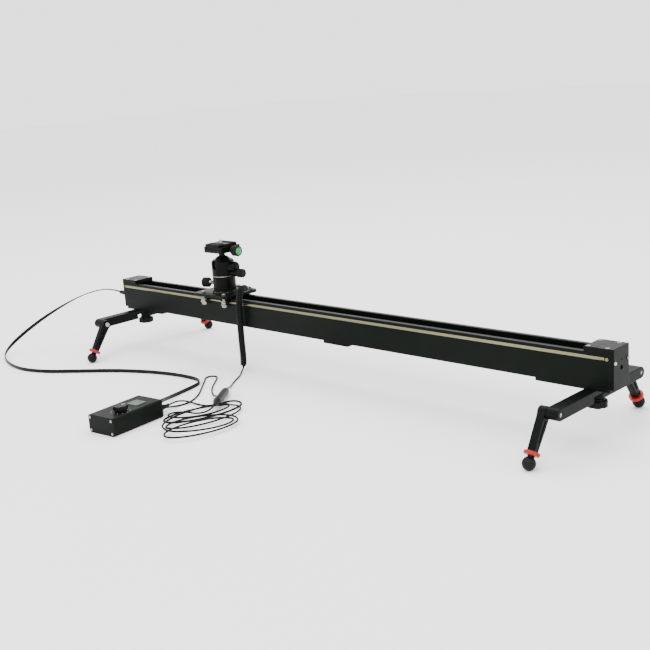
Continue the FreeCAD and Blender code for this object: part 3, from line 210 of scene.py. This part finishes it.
def flat_outline(count=24):
    """Cross-section of a two-core flat cable: a rounded strip with a shallow waist along its middle."""
    outline = []
    for i in range(count):
        angle = 2 * math.pi * i / count
        across = math.copysign(abs(math.cos(angle)) ** 0.75, math.cos(angle)) * FLAT_WIDTH / 2
        waist = 1.0 - 0.42 * math.exp(-(across / 0.0009) ** 2)
        outline.append((across, math.sin(angle) * FLAT_THICKNESS / 2 * waist))
    return outline


def ribbon(name, line, turns):
    """Flat cable along a line; turns gives how far it lies over at each point, 0 being on edge."""
    outline = flat_outline()
    vertices = []
    faces = []
    for point, ahead, turn in zip(line, tangents(line), turns):
        side = Vector((0, 0, 1)).cross(ahead).normalized()
        upright = ahead.cross(side)
        wide = math.cos(turn) * upright + math.sin(turn) * side
        thin = ahead.cross(wide)
        vertices += [point + wide * a + thin * b for a, b in outline]
    ring = len(outline)
    for i in range(len(line) - 1):
        for j in range(ring):
            a = i * ring + j
            b = i * ring + (j + 1) % ring
            faces.append((a, b, b + ring, a + ring))
    faces.append(tuple(reversed(range(ring))))
    faces.append(tuple(range(len(vertices) - ring, len(vertices))))
    mesh = bpy.data.meshes.new(name)
    mesh.from_pydata(vertices, [], faces)
    mesh.polygons.foreach_set("use_smooth", [True] * len(mesh.polygons))
    obj = bpy.data.objects.new(name, mesh)
    bpy.context.scene.collection.objects.link(obj)
    return obj


def ease(value, start, end):
    """Smooth step from 0 at start to 1 at end."""
    t = min(1.0, max(0.0, (value - start) / (end - start)))
    return t * t * (3 - 2 * t)


def make_motor_cable():
    """Flat cable: lies over where it leaves the rail, then stands on edge along the floor."""
    line = evenly(spline_line(MOTOR_CABLE_ROUTE), 420)
    length = line_length(line)
    turns = []
    for i in range(len(line)):
        along = length * i / (len(line) - 1)
        turns.append(math.radians(82) * (1 - ease(along, 0.05, 0.25)))
    cable = ribbon("motor_cable_flat", line, turns)
    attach(cable, "rail_body")
    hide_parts("motor_cable")
    return cable


def floor_lead(name, route, replaced):
    """Thin limp lead along a route, drawn as a mesh tube."""
    line = spline_line(route)
    lead = as_mesh(spline_curve(name, route, LEAD_DIAMETER / 2))
    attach(lead, "rail_body")
    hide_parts(*replaced)
    return lead


def loop_points():
    """Loose turns on the floor: one half oval after another, each bulging to the same hand."""
    points = []
    for start, end, bulge in zip(LOOP_ENDS, LOOP_ENDS[1:], LOOP_BULGES):
        start, end = Vector(start), Vector(end)
        centre = (start + end) / 2
        half = (start - end) / 2
        outward = Vector((half.y, -half.x, 0)).normalized() * bulge
        for i in range(LOOP_STEPS):
            angle = math.pi * i / LOOP_STEPS
            points.append(centre + half * math.cos(angle) + outward * math.sin(angle))
    points.append(Vector(LOOP_ENDS[-1]))
    return points


def make_shutter_lead():
    """Lead from the controller, out in a long narrow fold and back to the in-line joint."""
    return floor_lead("shutter_lead_line", SHUTTER_LEAD_ROUTE, ["shutter_lead"])


def make_loop_lead():
    """Lead from the controller that lies in loose loops on the floor before it reaches the joint."""
    route = [*LOOP_LEAD_ROUTE, *loop_points(), *LOOP_RETURN_ROUTE]
    return floor_lead("loop_lead_line", route, ["loop_lead", "loop_lead_hank"])


def coil_points():
    """Helix round the smooth line of the coiled lead; it closes onto the line at both ends."""
    count = COIL_TURNS * STEPS_PER_TURN + 1
    line = evenly(spline_line(COILED_LEAD_ROUTE), count)
    side = Vector((1, 0, 0))
    points = []
    for i, (point, ahead) in enumerate(zip(line, tangents(line))):
        side = (side - ahead * side.dot(ahead)).normalized()
        other = ahead.cross(side)
        angle = 2 * math.pi * i / STEPS_PER_TURN
        reach = (COIL_OUTER - COIL_WIRE) / 2
        reach *= ease(i, 0, 2 * STEPS_PER_TURN) * ease(count - 1 - i, 0, 2 * STEPS_PER_TURN)
        points.append(point + (side * math.cos(angle) + other * math.sin(angle)) * reach)
    return points


def make_coiled_lead():
    """Thin tail on the floor, springy coil up to the carriage, then a short lead to its plug."""
    route = [*COIL_TAIL_ROUTE[:-1], *coil_points(), *CAMERA_LEAD_ROUTE[1:]]
    line = spline_line(route)
    lead = as_mesh(spline_curve("coiled_lead_line", route, COIL_WIRE / 2))
    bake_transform(lead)
    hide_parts("coil_tail", "coiled_lead", "camera_lead")
    return lead


cables = [make_motor_cable(), make_shutter_lead(), make_loop_lead(), make_coiled_lead()]


# ---------------------------------------------------------------- material building blocks
class Shader:
    """A node material with short helpers for the parts that most finishes share."""

    def __init__(self, name):
        self.material = bpy.data.materials.new(name)
        self.material.use_nodes = True
        self.tree = self.material.node_tree
        self.surface = self.tree.nodes["Principled BSDF"]
        self.place = self.add("ShaderNodeTexCoord").outputs["Object"]
        self.shape = None

    def add(self, kind, **inputs):
        node = self.tree.nodes.new(kind)
        for key, value in inputs.items():
            node.inputs[key.replace("_", " ")].default_value = value
        return node

    def link(self, output, target):
        self.tree.links.new(output, target)

    def scaled(self, stretch):
        """Object coordinates stretched along the axes."""
        mapping = self.add("ShaderNodeMapping")
        mapping.inputs["Scale"].default_value = stretch
        self.link(self.place, mapping.inputs["Vector"])
        return mapping.outputs["Vector"]

    def noise(self, scale, detail=3.0, stretch=(1, 1, 1), roughness=0.5):
        """Noise value between 0 and 1."""
        node = self.add("ShaderNodeTexNoise", Scale=scale, Detail=detail, Roughness=roughness)
        self.link(self.scaled(stretch), node.inputs["Vector"])
        return node.outputs["Fac"]

    def waves(self, scale, axis, stretch=(1, 1, 1)):
        """Regular ridges along one axis."""
        node = self.add("ShaderNodeTexWave", Scale=scale)
        node.bands_direction = axis
        self.link(self.scaled(stretch), node.inputs["Vector"])
        return node.outputs["Fac"]

    def ramp(self, value, low, high, colours):
        """Blend between two colours as value goes from low to high."""
        node = self.add("ShaderNodeValToRGB")
        node.color_ramp.elements[0].position = low
        node.color_ramp.elements[1].position = high
        node.color_ramp.elements[0].color = (*colours[0], 1)
        node.color_ramp.elements[1].color = (*colours[1], 1)
        self.link(value, node.inputs["Fac"])
        return node.outputs["Color"]

    def between(self, value, low, high):
        """Value between 0 and 1 mapped to a range."""
        node = self.add("ShaderNodeMapRange")
        node.inputs["To Min"].default_value = low
        node.inputs["To Max"].default_value = high
        self.link(value, node.inputs["Value"])
        return node.outputs["Result"]

    def bump(self, height, depth, strength=1.0):
        """Add relief on top of what is there."""
        node = self.add("ShaderNodeBump", Strength=strength, Distance=depth)
        self.link(height, node.inputs["Height"])
        if self.shape is not None:
            self.link(self.shape, node.inputs["Normal"])
        self.shape = node.outputs["Normal"]
        self.link(self.shape, self.surface.inputs["Normal"])

    def soften(self, radius):
        """Round off sharp edges in the shading."""
        node = self.add("ShaderNodeBevel", Radius=radius)
        node.samples = 6
        self.shape = node.outputs["Normal"]
        self.link(self.shape, self.surface.inputs["Normal"])

    def edge_wear_and_highlight(self, radius, colours, threshold=0.985):
        """Colour that turns lighter on sharp edges: partly finish rubbed through, partly a painted edge
        highlight.
        """
        rounded = self.add("ShaderNodeBevel", Radius=radius)
        rounded.samples = 6
        true = self.add("ShaderNodeNewGeometry")
        dot = self.add("ShaderNodeVectorMath")
        dot.operation = "DOT_PRODUCT"
        self.link(rounded.outputs["Normal"], dot.inputs[0])
        self.link(true.outputs["Normal"], dot.inputs[1])
        return self.ramp(dot.outputs["Value"], threshold - 0.06, threshold, (colours[1], colours[0]))

    def set(self, **inputs):
        for key, value in inputs.items():
            self.surface.inputs[key.replace("_", " ")].default_value = value


def anodised(name, colour, worn_and_lit_edge, roughness=0.36, brushed=(1, 1, 1)):
    """Anodised aluminium: faint brushing, slight tone changes, and lighter sharp edges that are partly rubbed
    finish and partly painted edge highlight.
    """
    s = Shader(name)
    s.soften(0.0005)
    s.bump(s.noise(2600, 2.0, brushed), 0.00003, 0.35)
    tone = s.noise(38, 4.0)
    # Lighter sharp edges: partly rubbed finish, partly painted edge highlight.
    wear_and_highlight = s.edge_wear_and_highlight(0.0006, (colour, worn_and_lit_edge))
    deeper = s.ramp(tone, 0.3, 0.75, ((0.72, 0.72, 0.72), (1.15, 1.15, 1.15)))
    mix = s.add("ShaderNodeMix")
    mix.data_type = "RGBA"
    mix.blend_type = "MULTIPLY"
    mix.inputs["Factor"].default_value = 1.0
    s.link(wear_and_highlight, mix.inputs["A"])
    s.link(deeper, mix.inputs["B"])
    s.link(mix.outputs["Result"], s.surface.inputs["Base Color"])
    s.link(s.between(s.noise(120, 5.0, brushed), roughness - 0.07, roughness + 0.1),
           s.surface.inputs["Roughness"])
    s.set(Specular_IOR_Level=0.06, Metallic=0.0)
    return s.material


def steel(name, colour=(0.72, 0.7, 0.64), roughness=0.2, streaks=(1, 1, 1), dark=0.72):
    """Turned or ground steel with fine streaks."""
    s = Shader(name)
    s.soften(0.0003)
    s.bump(s.noise(1500, 3.0, streaks), 0.00003, 0.3)
    low = tuple(c * dark for c in colour)
    s.link(s.ramp(s.noise(90, 4.0, streaks), 0.3, 0.7, (low, colour)), s.surface.inputs["Base Color"])
    s.link(s.between(s.noise(300, 3.0, streaks), roughness - 0.06, roughness + 0.1),
           s.surface.inputs["Roughness"])
    s.set(Metallic=1.0)
    return s.material


def rubber(name, colour=(0.0034, 0.0038, 0.0035), roughness=0.55, grain=900.0):
    """Moulded rubber: soft sheen with a fine matt grain and dusty patches."""
    s = Shader(name)
    s.soften(0.0004)
    s.bump(s.noise(grain, 4.0), 0.00008, 0.4)
    dusty = tuple(c * 1.8 + 0.0015 for c in colour)
    s.link(s.ramp(s.noise(60, 5.0), 0.45, 0.8, (colour, dusty)), s.surface.inputs["Base Color"])
    s.link(s.between(s.noise(200, 3.0), roughness - 0.08, roughness + 0.12), s.surface.inputs["Roughness"])
    s.set(Specular_IOR_Level=0.09)
    return s.material


def plastic(name, colour=(0.0034, 0.0040, 0.0035), roughness=0.36):
    """Moulded plastic with a light spark-eroded texture."""
    s = Shader(name)
    s.soften(0.0004)
    cells = s.add("ShaderNodeTexVoronoi", Scale=1600.0)
    s.link(s.place, cells.inputs["Vector"])
    s.bump(cells.outputs["Distance"], 0.00006, 0.35)
    lighter = tuple(c * 1.35 for c in colour)
    s.link(s.ramp(s.noise(45, 3.0), 0.35, 0.7, (colour, lighter)), s.surface.inputs["Base Color"])
    s.link(s.between(s.noise(160, 3.0), roughness - 0.06, roughness + 0.08), s.surface.inputs["Roughness"])
    s.set(Specular_IOR_Level=0.08)
    return s.material


def cable_sheath():
    """Black vinyl sheath: slightly glossy, with tiny scuffs and drawing marks."""
    s = Shader("cable_sheath")
    s.bump(s.noise(700, 4.0), 0.00005, 0.4)
    s.link(s.ramp(s.noise(110, 5.0), 0.5, 0.85, ((0.0030, 0.0036, 0.0032), (0.0080, 0.0092, 0.0084))),
           s.surface.inputs["Base Color"])
    s.link(s.between(s.noise(240, 4.0), 0.3, 0.5), s.surface.inputs["Roughness"])
    s.set(Specular_IOR_Level=0.09)
    return s.material


def red_ring():
    """Bright red anodised ring with a light satin texture."""
    s = Shader("red_ring")
    s.soften(0.0004)
    s.bump(s.noise(900, 3.0), 0.00005, 0.3)
    # Lighter red on sharp edges: partly rubbed finish, partly painted edge highlight.
    wear_and_highlight = s.edge_wear_and_highlight(0.0005, ((0.27, 0.006, 0.006), (0.36, 0.03, 0.025)))
    s.link(wear_and_highlight, s.surface.inputs["Base Color"])
    s.link(s.between(s.noise(150, 3.0), 0.28, 0.42), s.surface.inputs["Roughness"])
    s.set(Metallic=0.1, Specular_IOR_Level=0.3)
    return s.material


def threaded_steel(name, pitch, axis):
    """Steel screw whose thread shows as fine regular ridges along one axis, its colour darker in the grooves
    and lighter on the crests as painted shade and painted highlight.
    """
    s = Shader(name)
    ridges = s.waves(1.0 / (pitch * 6.2832) * 3.14, axis)
    s.bump(ridges, 0.0004, 0.9)
    # Colour follows the ridges: painted shade in the thread grooves, painted highlight on the crests.
    s.link(s.ramp(ridges, 0.1, 0.9, ((0.25, 0.25, 0.24), (0.72, 0.71, 0.68))),
           s.surface.inputs["Base Color"])
    s.link(s.between(s.noise(300, 3.0), 0.2, 0.35), s.surface.inputs["Roughness"])
    s.set(Metallic=1.0)
    return s.material


def belt_rubber():
    """Toothed belt: dull rubber with a regular tooth ripple."""
    s = Shader("belt_rubber")
    s.bump(s.waves(157.0, "X"), 0.0004, 0.8)
    s.link(s.ramp(s.noise(400, 3.0), 0.4, 0.8, ((0.004, 0.0045, 0.0042), (0.011, 0.012, 0.011))),
           s.surface.inputs["Base Color"])
    s.link(s.between(s.noise(200, 3.0), 0.5, 0.7), s.surface.inputs["Roughness"])
    return s.material


def solids(node):
    """Polygon numbers of each separate solid in a CAD node."""
    mesh = node.data
    owner = {}

    def root(key):
        while owner.setdefault(key, key) != key:
            key = owner[key]
        return key

    places = [tuple(round(value, 6) for value in vertex.co) for vertex in mesh.vertices]
    for polygon in mesh.polygons:
        first = root(places[polygon.vertices[0]])
        for index in polygon.vertices[1:]:
            owner[root(places[index])] = first
    groups = {}
    for polygon in mesh.polygons:
        groups.setdefault(root(places[polygon.vertices[0]]), []).append(polygon.index)
    return list(groups.values())


def dress_solids(name, wanted, material):
    """Give the solids of a node that a test picks by their box a finish of their own."""
    mesh = nodes[name].data
    mesh.materials.append(material)
    for polygons in solids(nodes[name]):
        corners = np.array([mesh.vertices[i].co for p in polygons for i in mesh.polygons[p].vertices])
        if wanted(corners.min(axis=0), corners.max(axis=0)):
            for index in polygons:
                mesh.polygons[index].material_index = 1


def is_knee_bolt(low, high):
    """True for the bolt, which is far shorter front to back than the arm it sits in."""
    return high[1] - low[1] < 0.015


def is_foot_stem(low, high):
    """True for the threaded stem, which reaches far above the rubber ball."""
    return high[2] > 0.030


def is_rod_screw(low, high):
    """True for the screws at the ends of the guide rods."""
    return low[2] > 0.113 and high[2] < 0.120 and abs(low[1] + high[1]) / 2 > 0.017


def dress(names, material):
    """Give CAD nodes a material."""
    for name in names:
        slots = nodes[name].data.materials
        slots.clear()
        slots.append(material)
        for polygon in nodes[name].data.polygons:
            polygon.material_index = 0


# ---------------------------------------------------------------- finishes of the CAD nodes
CONTROLLER_TURN = 6.3
CORNERS = ("front_left", "back_left", "front_right", "back_right")
BLACK = (0.0018, 0.0036, 0.0024)
# Edge colour of the black parts: partly rubbed finish, partly painted edge highlight.
WORN_AND_LIT_EDGE = (0.009, 0.013, 0.010)

rail_black = anodised("rail_black", BLACK, WORN_AND_LIT_EDGE, 0.38, brushed=(0.04, 1, 1))
block_black = anodised("block_black", (0.0020, 0.0036, 0.0026), WORN_AND_LIT_EDGE, 0.34)
leg_black = anodised("leg_black", (0.0020, 0.0032, 0.0024), WORN_AND_LIT_EDGE, 0.40)
head_black = anodised("head_black", (0.0018, 0.0026, 0.0020), WORN_AND_LIT_EDGE, 0.30)
case_black = anodised("case_black", (0.0028, 0.0050, 0.0036), (0.011, 0.016, 0.013), 0.42)
knob_rubber = rubber("knob_rubber")
foot_rubber = rubber("foot_rubber", (0.0034, 0.0038, 0.0035), 0.38)
black_plastic = plastic("black_plastic")
bright_steel = steel("bright_steel", (0.42, 0.40, 0.35), 0.26, dark=0.4)
rod_steel = steel("rod_steel", (0.24, 0.23, 0.13), 0.30, streaks=(0.02, 1, 1))
dark_steel = steel("dark_steel", (0.16, 0.16, 0.155), 0.32)
sheath = cable_sheath()

dress(["rail_extrusion"], rail_black)
dress(["end_block_left", "end_block_right", "carriage_plate", "tripod_plate", "leg_plates"], block_black)
dress(["guide_rods"], rod_steel)
dress(["case_screws", "roller_bolts", "drive_pulley", "idler_pulley"], bright_steel)
dress(["roller_front_left", "roller_front_right", "roller_back_left", "roller_back_right"], bright_steel)
dress_solids("case_screws", is_rod_screw, steel("bronzed_steel", (0.20, 0.16, 0.09), 0.34))
dress(["gear_motor"], dark_steel)
dress(["timing_belt"], belt_rubber())
dress(["head_base", "head_housing", "clamp_body", "clamp_jaw", "camera_plate"], head_black)
dress(["head_ball"], anodised("ball_black", (0.003, 0.0036, 0.0032), WORN_AND_LIT_EDGE, 0.24))
dress(["main_lock_knob", "pan_lock_knob"], knob_rubber)
dress(["clamp_knob"], anodised("knob_black", (0.003, 0.0036, 0.0032), (0.02, 0.022, 0.02), 0.34))
dress(["camera_screw"], threaded_steel("camera_thread", 0.00127, "Z"))
dress(["camera_plug"], steel("plug_metal", (0.42, 0.36, 0.22), 0.22))
dress(["leg_knob_left", "leg_knob_right", "speed_knob", "lead_sockets", "lead_joint"], black_plastic)
dress(["cable_gland"], rubber("gland_rubber", (0.0040, 0.0044, 0.0042), 0.45))
dress(["controller_case"], case_black)
dress(["controller_ends"], anodised("case_end_black", (0.0026, 0.0042, 0.0032), WORN_AND_LIT_EDGE, 0.38))
dress(["display_window"], plastic("window_frame", (0.075, 0.095, 0.078), 0.4))
for corner in CORNERS:
    dress(["leg_arm_" + corner, "lower_leg_" + corner], leg_black)
    dress(["lock_ring_" + corner], red_ring())
    dress(["foot_" + corner], foot_rubber)
    dress_solids("leg_arm_" + corner, is_knee_bolt, bright_steel)
    dress_solids("foot_" + corner, is_foot_stem, bright_steel)
for cable in cables:
    cable.data.materials.append(sheath)


# ---------------------------------------------------------------- added detail
def mesh_piece(name, vertices, faces, material, body, smooth=False):
    """New mesh object that rides on a body."""
    mesh = bpy.data.meshes.new(name)
    mesh.from_pydata([tuple(v) for v in vertices], [], faces)
    mesh.polygons.foreach_set("use_smooth", [smooth] * len(mesh.polygons))
    mesh.materials.append(material)
    obj = bpy.data.objects.new(name, mesh)
    bpy.context.scene.collection.objects.link(obj)
    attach(obj, body)
    return obj


def lathe(profile, matrix, count=64):
    """Vertices and faces of a profile of (radius, height) turned about Z and then placed."""
    vertices = []
    for radius, height in profile:
        for i in range(count):
            angle = 2 * math.pi * i / count
            vertices.append(matrix @ Vector((radius * math.cos(angle), radius * math.sin(angle), height)))
    faces = []
    for ring in range(len(profile) - 1):
        for i in range(count):
            a = ring * count + i
            b = ring * count + (i + 1) % count
            faces.append((a, b, b + count, a + count))
    return vertices, faces


def small_boxes(placements):
    """Vertices and faces of many small boxes, each given as a matrix and half sizes."""
    vertices = []
    faces = []
    for matrix, (hx, hy, hz) in placements:
        base = len(vertices)
        for x in (-hx, hx):
            for y in (-hy, hy):
                for z in (-hz, hz):
                    vertices.append(matrix @ Vector((x, y, z)))
        for face in ((0, 1, 3, 2), (4, 6, 7, 5), (0, 4, 5, 1), (2, 3, 7, 6), (0, 2, 6, 4), (1, 5, 7, 3)):
            faces.append(tuple(base + i for i in face))
    return vertices, faces


def middle(node):
    """Centre of a CAD node's box."""
    low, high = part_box(node)
    return (Vector(low) + Vector(high)) / 2


def paint(name, colour, roughness=0.5):
    """Printed or painted mark with a slightly uneven surface."""
    s = Shader(name)
    faded = tuple(c * 0.75 for c in colour)
    s.link(s.ramp(s.noise(500, 3.0), 0.3, 0.7, (faded, colour)), s.surface.inputs["Base Color"])
    s.link(s.between(s.noise(400, 2.0), roughness - 0.08, roughness + 0.08), s.surface.inputs["Roughness"])
    return s.material


def head_ring():
    """Bright split line round the barrel of the ball head."""
    axis = middle("head_base")
    radius = 0.0202
    place = Matrix.Translation((axis.x, axis.y, 0.158))
    profile = [(radius - 0.0004, -0.0006), (radius, -0.0006), (radius, 0.0006), (radius - 0.0004, 0.0006)]
    vertices, faces = lathe(profile, place)
    mesh_piece("head_ring", vertices, faces, bright_steel, "head_housing_body", True)


def pan_stem():
    """Bright collar on the stem between the head's foot and the pan lock knob."""
    axis = middle("head_base")
    turn = Matrix.Rotation(math.radians(200), 4, "Z") @ Matrix.Rotation(math.radians(90), 4, "Y")
    place = Matrix.Translation((axis.x, axis.y, 0.1445)) @ turn
    profile = [(0.00305, 0.0200), (0.00345, 0.0203), (0.00345, 0.0226), (0.00305, 0.0230),
               (0.00305, 0.0285), (0.00340, 0.0290), (0.00340, 0.0300)]
    vertices, faces = lathe(profile, place, 32)
    mesh_piece("pan_stem", vertices, faces, bright_steel, "pan_lock_knob_body", True)


def pan_scale():
    """Ring of short marks round the foot of the head, every ten degrees."""
    axis = middle("head_base")
    low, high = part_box("head_base")
    radius = (high[0] - low[0]) / 2
    marks = []
    for i in range(36):
        half = 0.0011 if i % 3 == 0 else 0.0006
        turn = Matrix.Rotation(math.radians(10 * i), 4, "Z")
        spot = Matrix.Translation((radius + 0.00002, 0, low[2] + 0.0003 + half))
        marks.append((Matrix.Translation((axis.x, axis.y, 0)) @ turn @ spot, (0.00008, 0.00018, half)))
    vertices, faces = small_boxes(marks)
    mesh_piece("pan_scale", vertices, faces, paint("scale_white", (0.62, 0.62, 0.58)), "carriage_body")


def green_cap():
    """Bright green disc set in the outer face of the clamp knob."""
    outer_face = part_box("clamp_knob")[1][0]
    centre = middle("clamp_knob")
    place = Matrix.Translation((outer_face, centre.y, centre.z)) @ Matrix.Rotation(math.radians(90), 4, "Y")
    profile = [(0.0064, -0.0003), (0.0064, 0.0002), (0.0060, 0.0005), (0.0035, 0.00065), (0.0, 0.0007)]
    vertices, faces = lathe(profile, place, 48)
    s = Shader("green_cap")
    s.bump(s.noise(800, 3.0), 0.00004, 0.3)
    s.link(s.ramp(s.noise(150, 3.0), 0.3, 0.7, ((0.0, 0.14, 0.03), (0.003, 0.22, 0.05))),
           s.surface.inputs["Base Color"])
    s.set(Roughness=0.32)
    mesh_piece("green_cap", vertices, faces, s.material, "clamp_knob_body", True)


def controller_matrix(z):
    """Frame at the top of the controller with +Y along its length."""
    centre = middle("controller_case")
    return Matrix.Translation((centre.x, centre.y, z)) @ Matrix.Rotation(math.radians(CONTROLLER_TURN), 4, "Z")


def dial_marks():
    """Printed scale of ticks round the speed knob."""
    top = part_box("controller_case")[1][2]
    knob = middle("speed_knob")
    marks = []
    for i in range(11):
        angle = math.radians(CONTROLLER_TURN - 150 + 30 * i + 90)
        longer = 0.0012 if i % 5 == 0 else 0.0008
        turn = Matrix.Rotation(angle, 4, "Z")
        spot = Matrix.Translation((0.0136 + longer, 0, 0))
        marks.append((Matrix.Translation((knob.x, knob.y, top)) @ turn @ spot, (longer, 0.00028, 0.00007)))
    vertices, faces = small_boxes(marks)
    mesh_piece("dial_marks", vertices, faces, paint("print_white", (0.6, 0.6, 0.56)), "rail_body")


def dial_pointer():
    """White pointer line on top of the speed knob."""
    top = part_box("speed_knob")[1][2]
    knob = middle("speed_knob")
    turn = Matrix.Rotation(math.radians(90 + CONTROLLER_TURN), 4, "Z")
    place = Matrix.Translation((knob.x, knob.y, top)) @ turn @ Matrix.Translation((0.0062, 0, 0))
    vertices, faces = small_boxes([(place, (0.0034, 0.0005, 0.0001))])
    mesh_piece("dial_pointer", vertices, faces, paint("pointer_white", (0.7, 0.7, 0.67)), "speed_knob_body")


def display_glass():
    """Dark glass of the display, flush in its frame."""
    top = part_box("display_window")[1][2]
    centre = middle("display_window")
    place = controller_matrix(0)
    place.translation = Vector((centre.x, centre.y, top - 0.00022))
    vertices, faces = small_boxes([(place, (0.00665, 0.00565, 0.0001))])
    s = Shader("display_glass")
    s.link(s.ramp(s.noise(60, 3.0), 0.3, 0.7, ((0.003, 0.004, 0.0035), (0.007, 0.009, 0.008))),
           s.surface.inputs["Base Color"])
    s.set(Roughness=0.12, Specular_IOR_Level=0.25)
    mesh_piece("display_glass", vertices, faces, s.material, "rail_body")


def plate_pad():
    """Thin ribbed rubber pads on the camera plate, either side of the screw."""
    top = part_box("camera_plate")[1][2]
    centre = middle("camera_plate")
    ribs = []
    for side in (-1, 1):
        pad_y = centre.y + side * 0.0125
        ribs.append((Matrix.Translation((centre.x, pad_y, top + 0.0002)), (0.0165, 0.0065, 0.0002)))
        for i in range(7):
            rib_y = pad_y + (i - 3) * 0.0017
            ribs.append((Matrix.Translation((centre.x, rib_y, top + 0.0005)), (0.0160, 0.0005, 0.0002)))
    vertices, faces = small_boxes(ribs)
    mesh_piece("plate_pad", vertices, faces, knob_rubber, "camera_plate_body")


head_ring()
pan_stem()
pan_scale()
green_cap()
dial_marks()
dial_pointer()
display_glass()
plate_pad()


# ---------------------------------------------------------------- floor and light
def add_floor():
    """Large pale floor under the feet."""
    size = 12.0
    mesh = bpy.data.meshes.new("floor")
    corners = [(-size, -size, 0), (size, -size, 0), (size, size, 0), (-size, size, 0)]
    mesh.from_pydata(corners, [], [(0, 1, 2, 3)])
    floor = bpy.data.objects.new("floor", mesh)
    bpy.context.scene.collection.objects.link(floor)
    s = Shader("floor_white")
    s.link(s.ramp(s.noise(3, 2.0), 0.2, 0.8, ((0.93, 0.93, 0.93), (0.95, 0.95, 0.95))),
           s.surface.inputs["Base Color"])
    s.set(Roughness=0.9, Specular_IOR_Level=0.1)
    mesh.materials.append(s.material)


def add_area_light(name, place, aim, size, power):
    """Soft box aimed at a point."""
    data = bpy.data.lights.new(name, "AREA")
    data.shape = "SQUARE"
    data.size = size
    data.energy = power
    light = bpy.data.objects.new(name, data)
    light.location = place
    light.rotation_mode = "QUATERNION"
    light.rotation_quaternion = (Vector(aim) - Vector(place)).to_track_quat("-Z", "Y")
    bpy.context.scene.collection.objects.link(light)


def add_world(strength):
    """Even white surroundings."""
    world = bpy.data.worlds.new("studio")
    world.use_nodes = True
    background = world.node_tree.nodes["Background"]
    background.inputs["Color"].default_value = (1, 1, 1, 1)
    background.inputs["Strength"].default_value = strength
    bpy.context.scene.world = world


add_floor()
add_world(2.3)
add_area_light("key", (0.8, -2.2, 2.6), (0.0, 0.0, 0.1), 1.6, 60)
add_area_light("top", (-0.6, 0.6, 2.8), (0.0, 0.0, 0.1), 2.0, 50)
